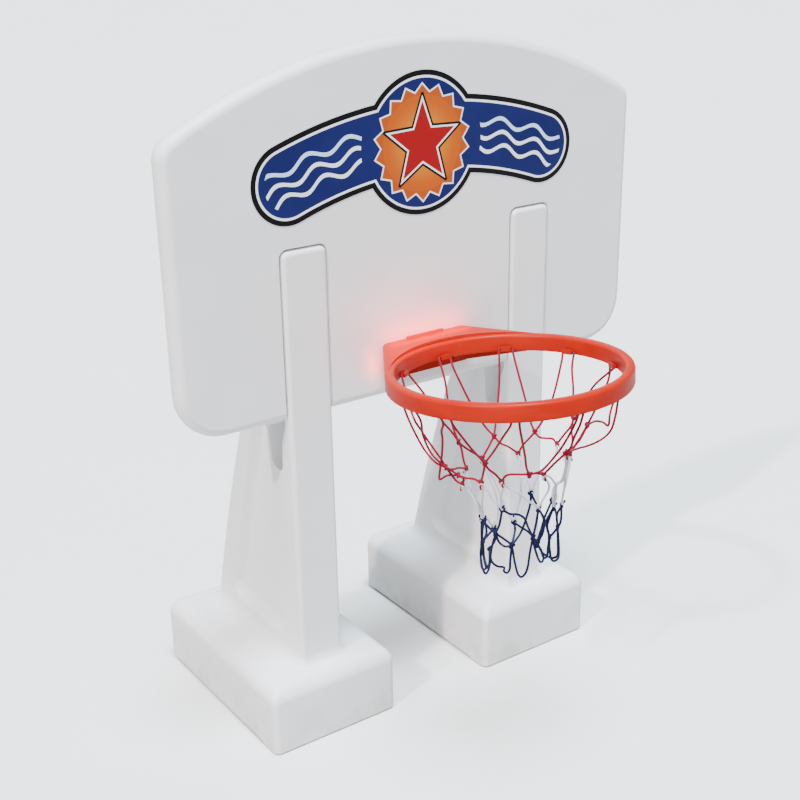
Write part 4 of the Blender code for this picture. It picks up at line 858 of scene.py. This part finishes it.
def tie_knots(tiers, knots):
    """Every knot, with a white one beside it where white meets another colour, and a loose end."""
    up = Vector((0, 0, 1))
    for name, place in knots.items():
        out = outward(place)
        lean = Matrix.Rotation(CHANCE.uniform(-KNOT_LEAN, KNOT_LEAN), 3, out)
        tier = tiers["red" if name[0] in "FJ" else "navy"]
        tier.knot(place, lean @ up, out, CHANCE.uniform(*KNOT_SIZES))
        if name[0] == "J":
            white_place = place - up * WHITE_KNOT_OFF + out * WHITE_KNOT_OUT
            tiers["white"].knot(white_place, lean @ up, out, WHITE_KNOT_SIZE)
            tier.tail(place, (out * 0.5 - up).normalized(), CHANCE.uniform(*RED_TAILS))
        if name[0] == "W":
            white_place = place + up * WHITE_KNOT_OFF + out * WHITE_KNOT_OUT
            tiers["white"].knot(white_place, lean @ up, out, WHITE_KNOT_SIZE)
            tail_place = place + up * NAVY_TAIL_RISE
            tier.tail(tail_place, (out * 0.6 + up * 0.8).normalized(), CHANCE.uniform(*NAVY_TAILS))


def make_net(camera, finishes):
    knots = {name: hang(camera, *place, ROW_DEPTHS[name[0]], KNOT_SPREAD)
             for name, place in KNOT_PIXELS.items()}
    seats = cord_seats()
    tiers = {"red": Cordage(RED_RADIUS), "white": Cordage(WHITE_RADIUS), "navy": Cordage(NAVY_RADIUS)}
    for tier, cords in CORD_PIXELS.items():
        for start, end, sides, pixels in cords:
            tiers[tier].cord(trace_cord(camera, {**knots, **seats}, start, end, sides, pixels))
    for number in range(HOOKS):
        first, second = [seats["H%d%s" % (number, side)] for side in "ab"]
        tiers["red"].cord([first, first.lerp(second, 0.5) + outward(first) * SEAT_BEND, second])
    tie_knots(tiers, knots)
    tiers["red"].piece("red_cords", "red_cord", finishes["red_cord"], "net_red")
    tiers["white"].piece("white_cords", "white_cord", finishes["white_cord"], "net_white")
    tiers["navy"].piece("navy_cords", "blue_cord", finishes["blue_cord"], "net_blue")


# Floor and light

def make_floor():
    half = FLOOR_HALF
    mesh = bpy.data.meshes.new("floor")
    mesh.from_pydata([(-half, -half, 0), (half, -half, 0), (half, half, 0), (-half, half, 0)], [],
                     [(0, 1, 2, 3)])
    floor = add_piece("floor", mesh, floor_paint())
    floor.location.z = -FLOOR_DROP


def add_light(name, lamp, way):
    """A lamp that shines in the given direction."""
    light = bpy.data.objects.new(name, lamp)
    light.rotation_euler = Vector(way).to_track_quat("-Z", "Y").to_euler()
    bpy.context.scene.collection.objects.link(light)
    return light


def add_sun(name, way, strength, spread, colour):
    """An even light, soft by its spread in degrees."""
    lamp = bpy.data.lights.new(name, "SUN")
    lamp.energy = strength
    lamp.angle = math.radians(spread)
    lamp.color = colour
    add_light(name, lamp, way)


def add_glow(name, middle, width, height, power):
    """Red light that the sunlit bracket throws on the board, from a hidden strip that faces it."""
    lamp = bpy.data.lights.new(name, "AREA")
    lamp.energy = power
    lamp.color = GLOW_COLOUR
    lamp.shape = "RECTANGLE"
    lamp.size = width
    lamp.size_y = height
    light = add_light(name, lamp, (0, 1, 0))
    light.location = middle
    light.visible_camera = False


def make_world():
    """A dim sky for the object, behind which the camera sees a bright wall."""
    world = bpy.data.worlds.new("studio")
    world.use_nodes = True
    tree = world.node_tree
    sky = tree.nodes["Background"]
    wall = tree.nodes.new("ShaderNodeBackground")
    for shade, (colour, strength) in ((sky, SKY), (wall, WALL)):
        shade.inputs["Color"].default_value = colour
        shade.inputs["Strength"].default_value = strength
    ray = tree.nodes.new("ShaderNodeLightPath")
    blend = tree.nodes.new("ShaderNodeMixShader")
    tree.links.new(ray.outputs["Is Camera Ray"], blend.inputs[0])
    tree.links.new(sky.outputs[0], blend.inputs[1])
    tree.links.new(wall.outputs[0], blend.inputs[2])
    tree.links.new(blend.outputs[0], tree.nodes["World Output"].inputs["Surface"])
    bpy.context.scene.world = world


def light_studio():
    make_world()
    add_sun("key", (0.955, 0.295, -0.90), 3.4, 3, (1.0, 0.84, 0.80))
    add_sun("fill", (0.80, 0.55, -0.35), 1.25, 50, (1.0, 0.95, 0.95))
    add_sun("top", (0.05, 0.20, -1.0), 9.4, 18, (0.78, 0.90, 1.0))
    side_x = -BRACKET_HALF - BRACKET_FLARE - GLOW_STRIP
    side_z = (BRACKET_LOW_Z + BRACKET_TOP_Z) / 2
    add_glow("side_glow", (side_x, FACE_Y - SIDE_GLOW_OFF, side_z), GLOW_STRIP, SIDE_GLOW_HEIGHT, 0.034)
    top_z = BRACKET_TOP_Z + GLOW_STRIP
    add_glow("top_glow", (0, FACE_Y - TOP_GLOW_OFF, top_z), TOP_GLOW_WIDTH, GLOW_STRIP, 0.15)
    wide_middle = (-BRACKET_HALF / 2, FACE_Y - WIDE_GLOW_OFF, BRACKET_TOP_Z + WIDE_GLOW_RISE)
    add_glow("wide_glow", wide_middle, TOP_GLOW_WIDTH, GLOW_STRIP, 0.20)


CAMERA = place_camera()
FINISHES = {
    "white_plastic": white_plastic(),
    "orange_plastic": orange_plastic(),
    "steel": zinc_steel(),
    "brass": brass(),
    "rubber": rubber(),
    "cap_plastic": cap_plastic(),
    "sticker": printed_sheet(),
    # Each braid's first colour is painted shade for the plaits' grooves, and its second is the crests'
    # colour
    "red_cord": cord_fibre("red_braid", (0.12, 0.0003, 0.008), (0.27, 0.0006, 0.019)),
    "white_cord": cord_fibre("white_braid", (0.42, 0.40, 0.47), (0.66, 0.64, 0.72)),
    "blue_cord": cord_fibre("navy_braid", (0.002, 0.002, 0.018), (0.006, 0.006, 0.055)),
}
make_surfaces(FINISHES)
make_sheet(FINISHES["sticker"])
make_net(CAMERA, FINISHES)
make_floor()
light_studio()
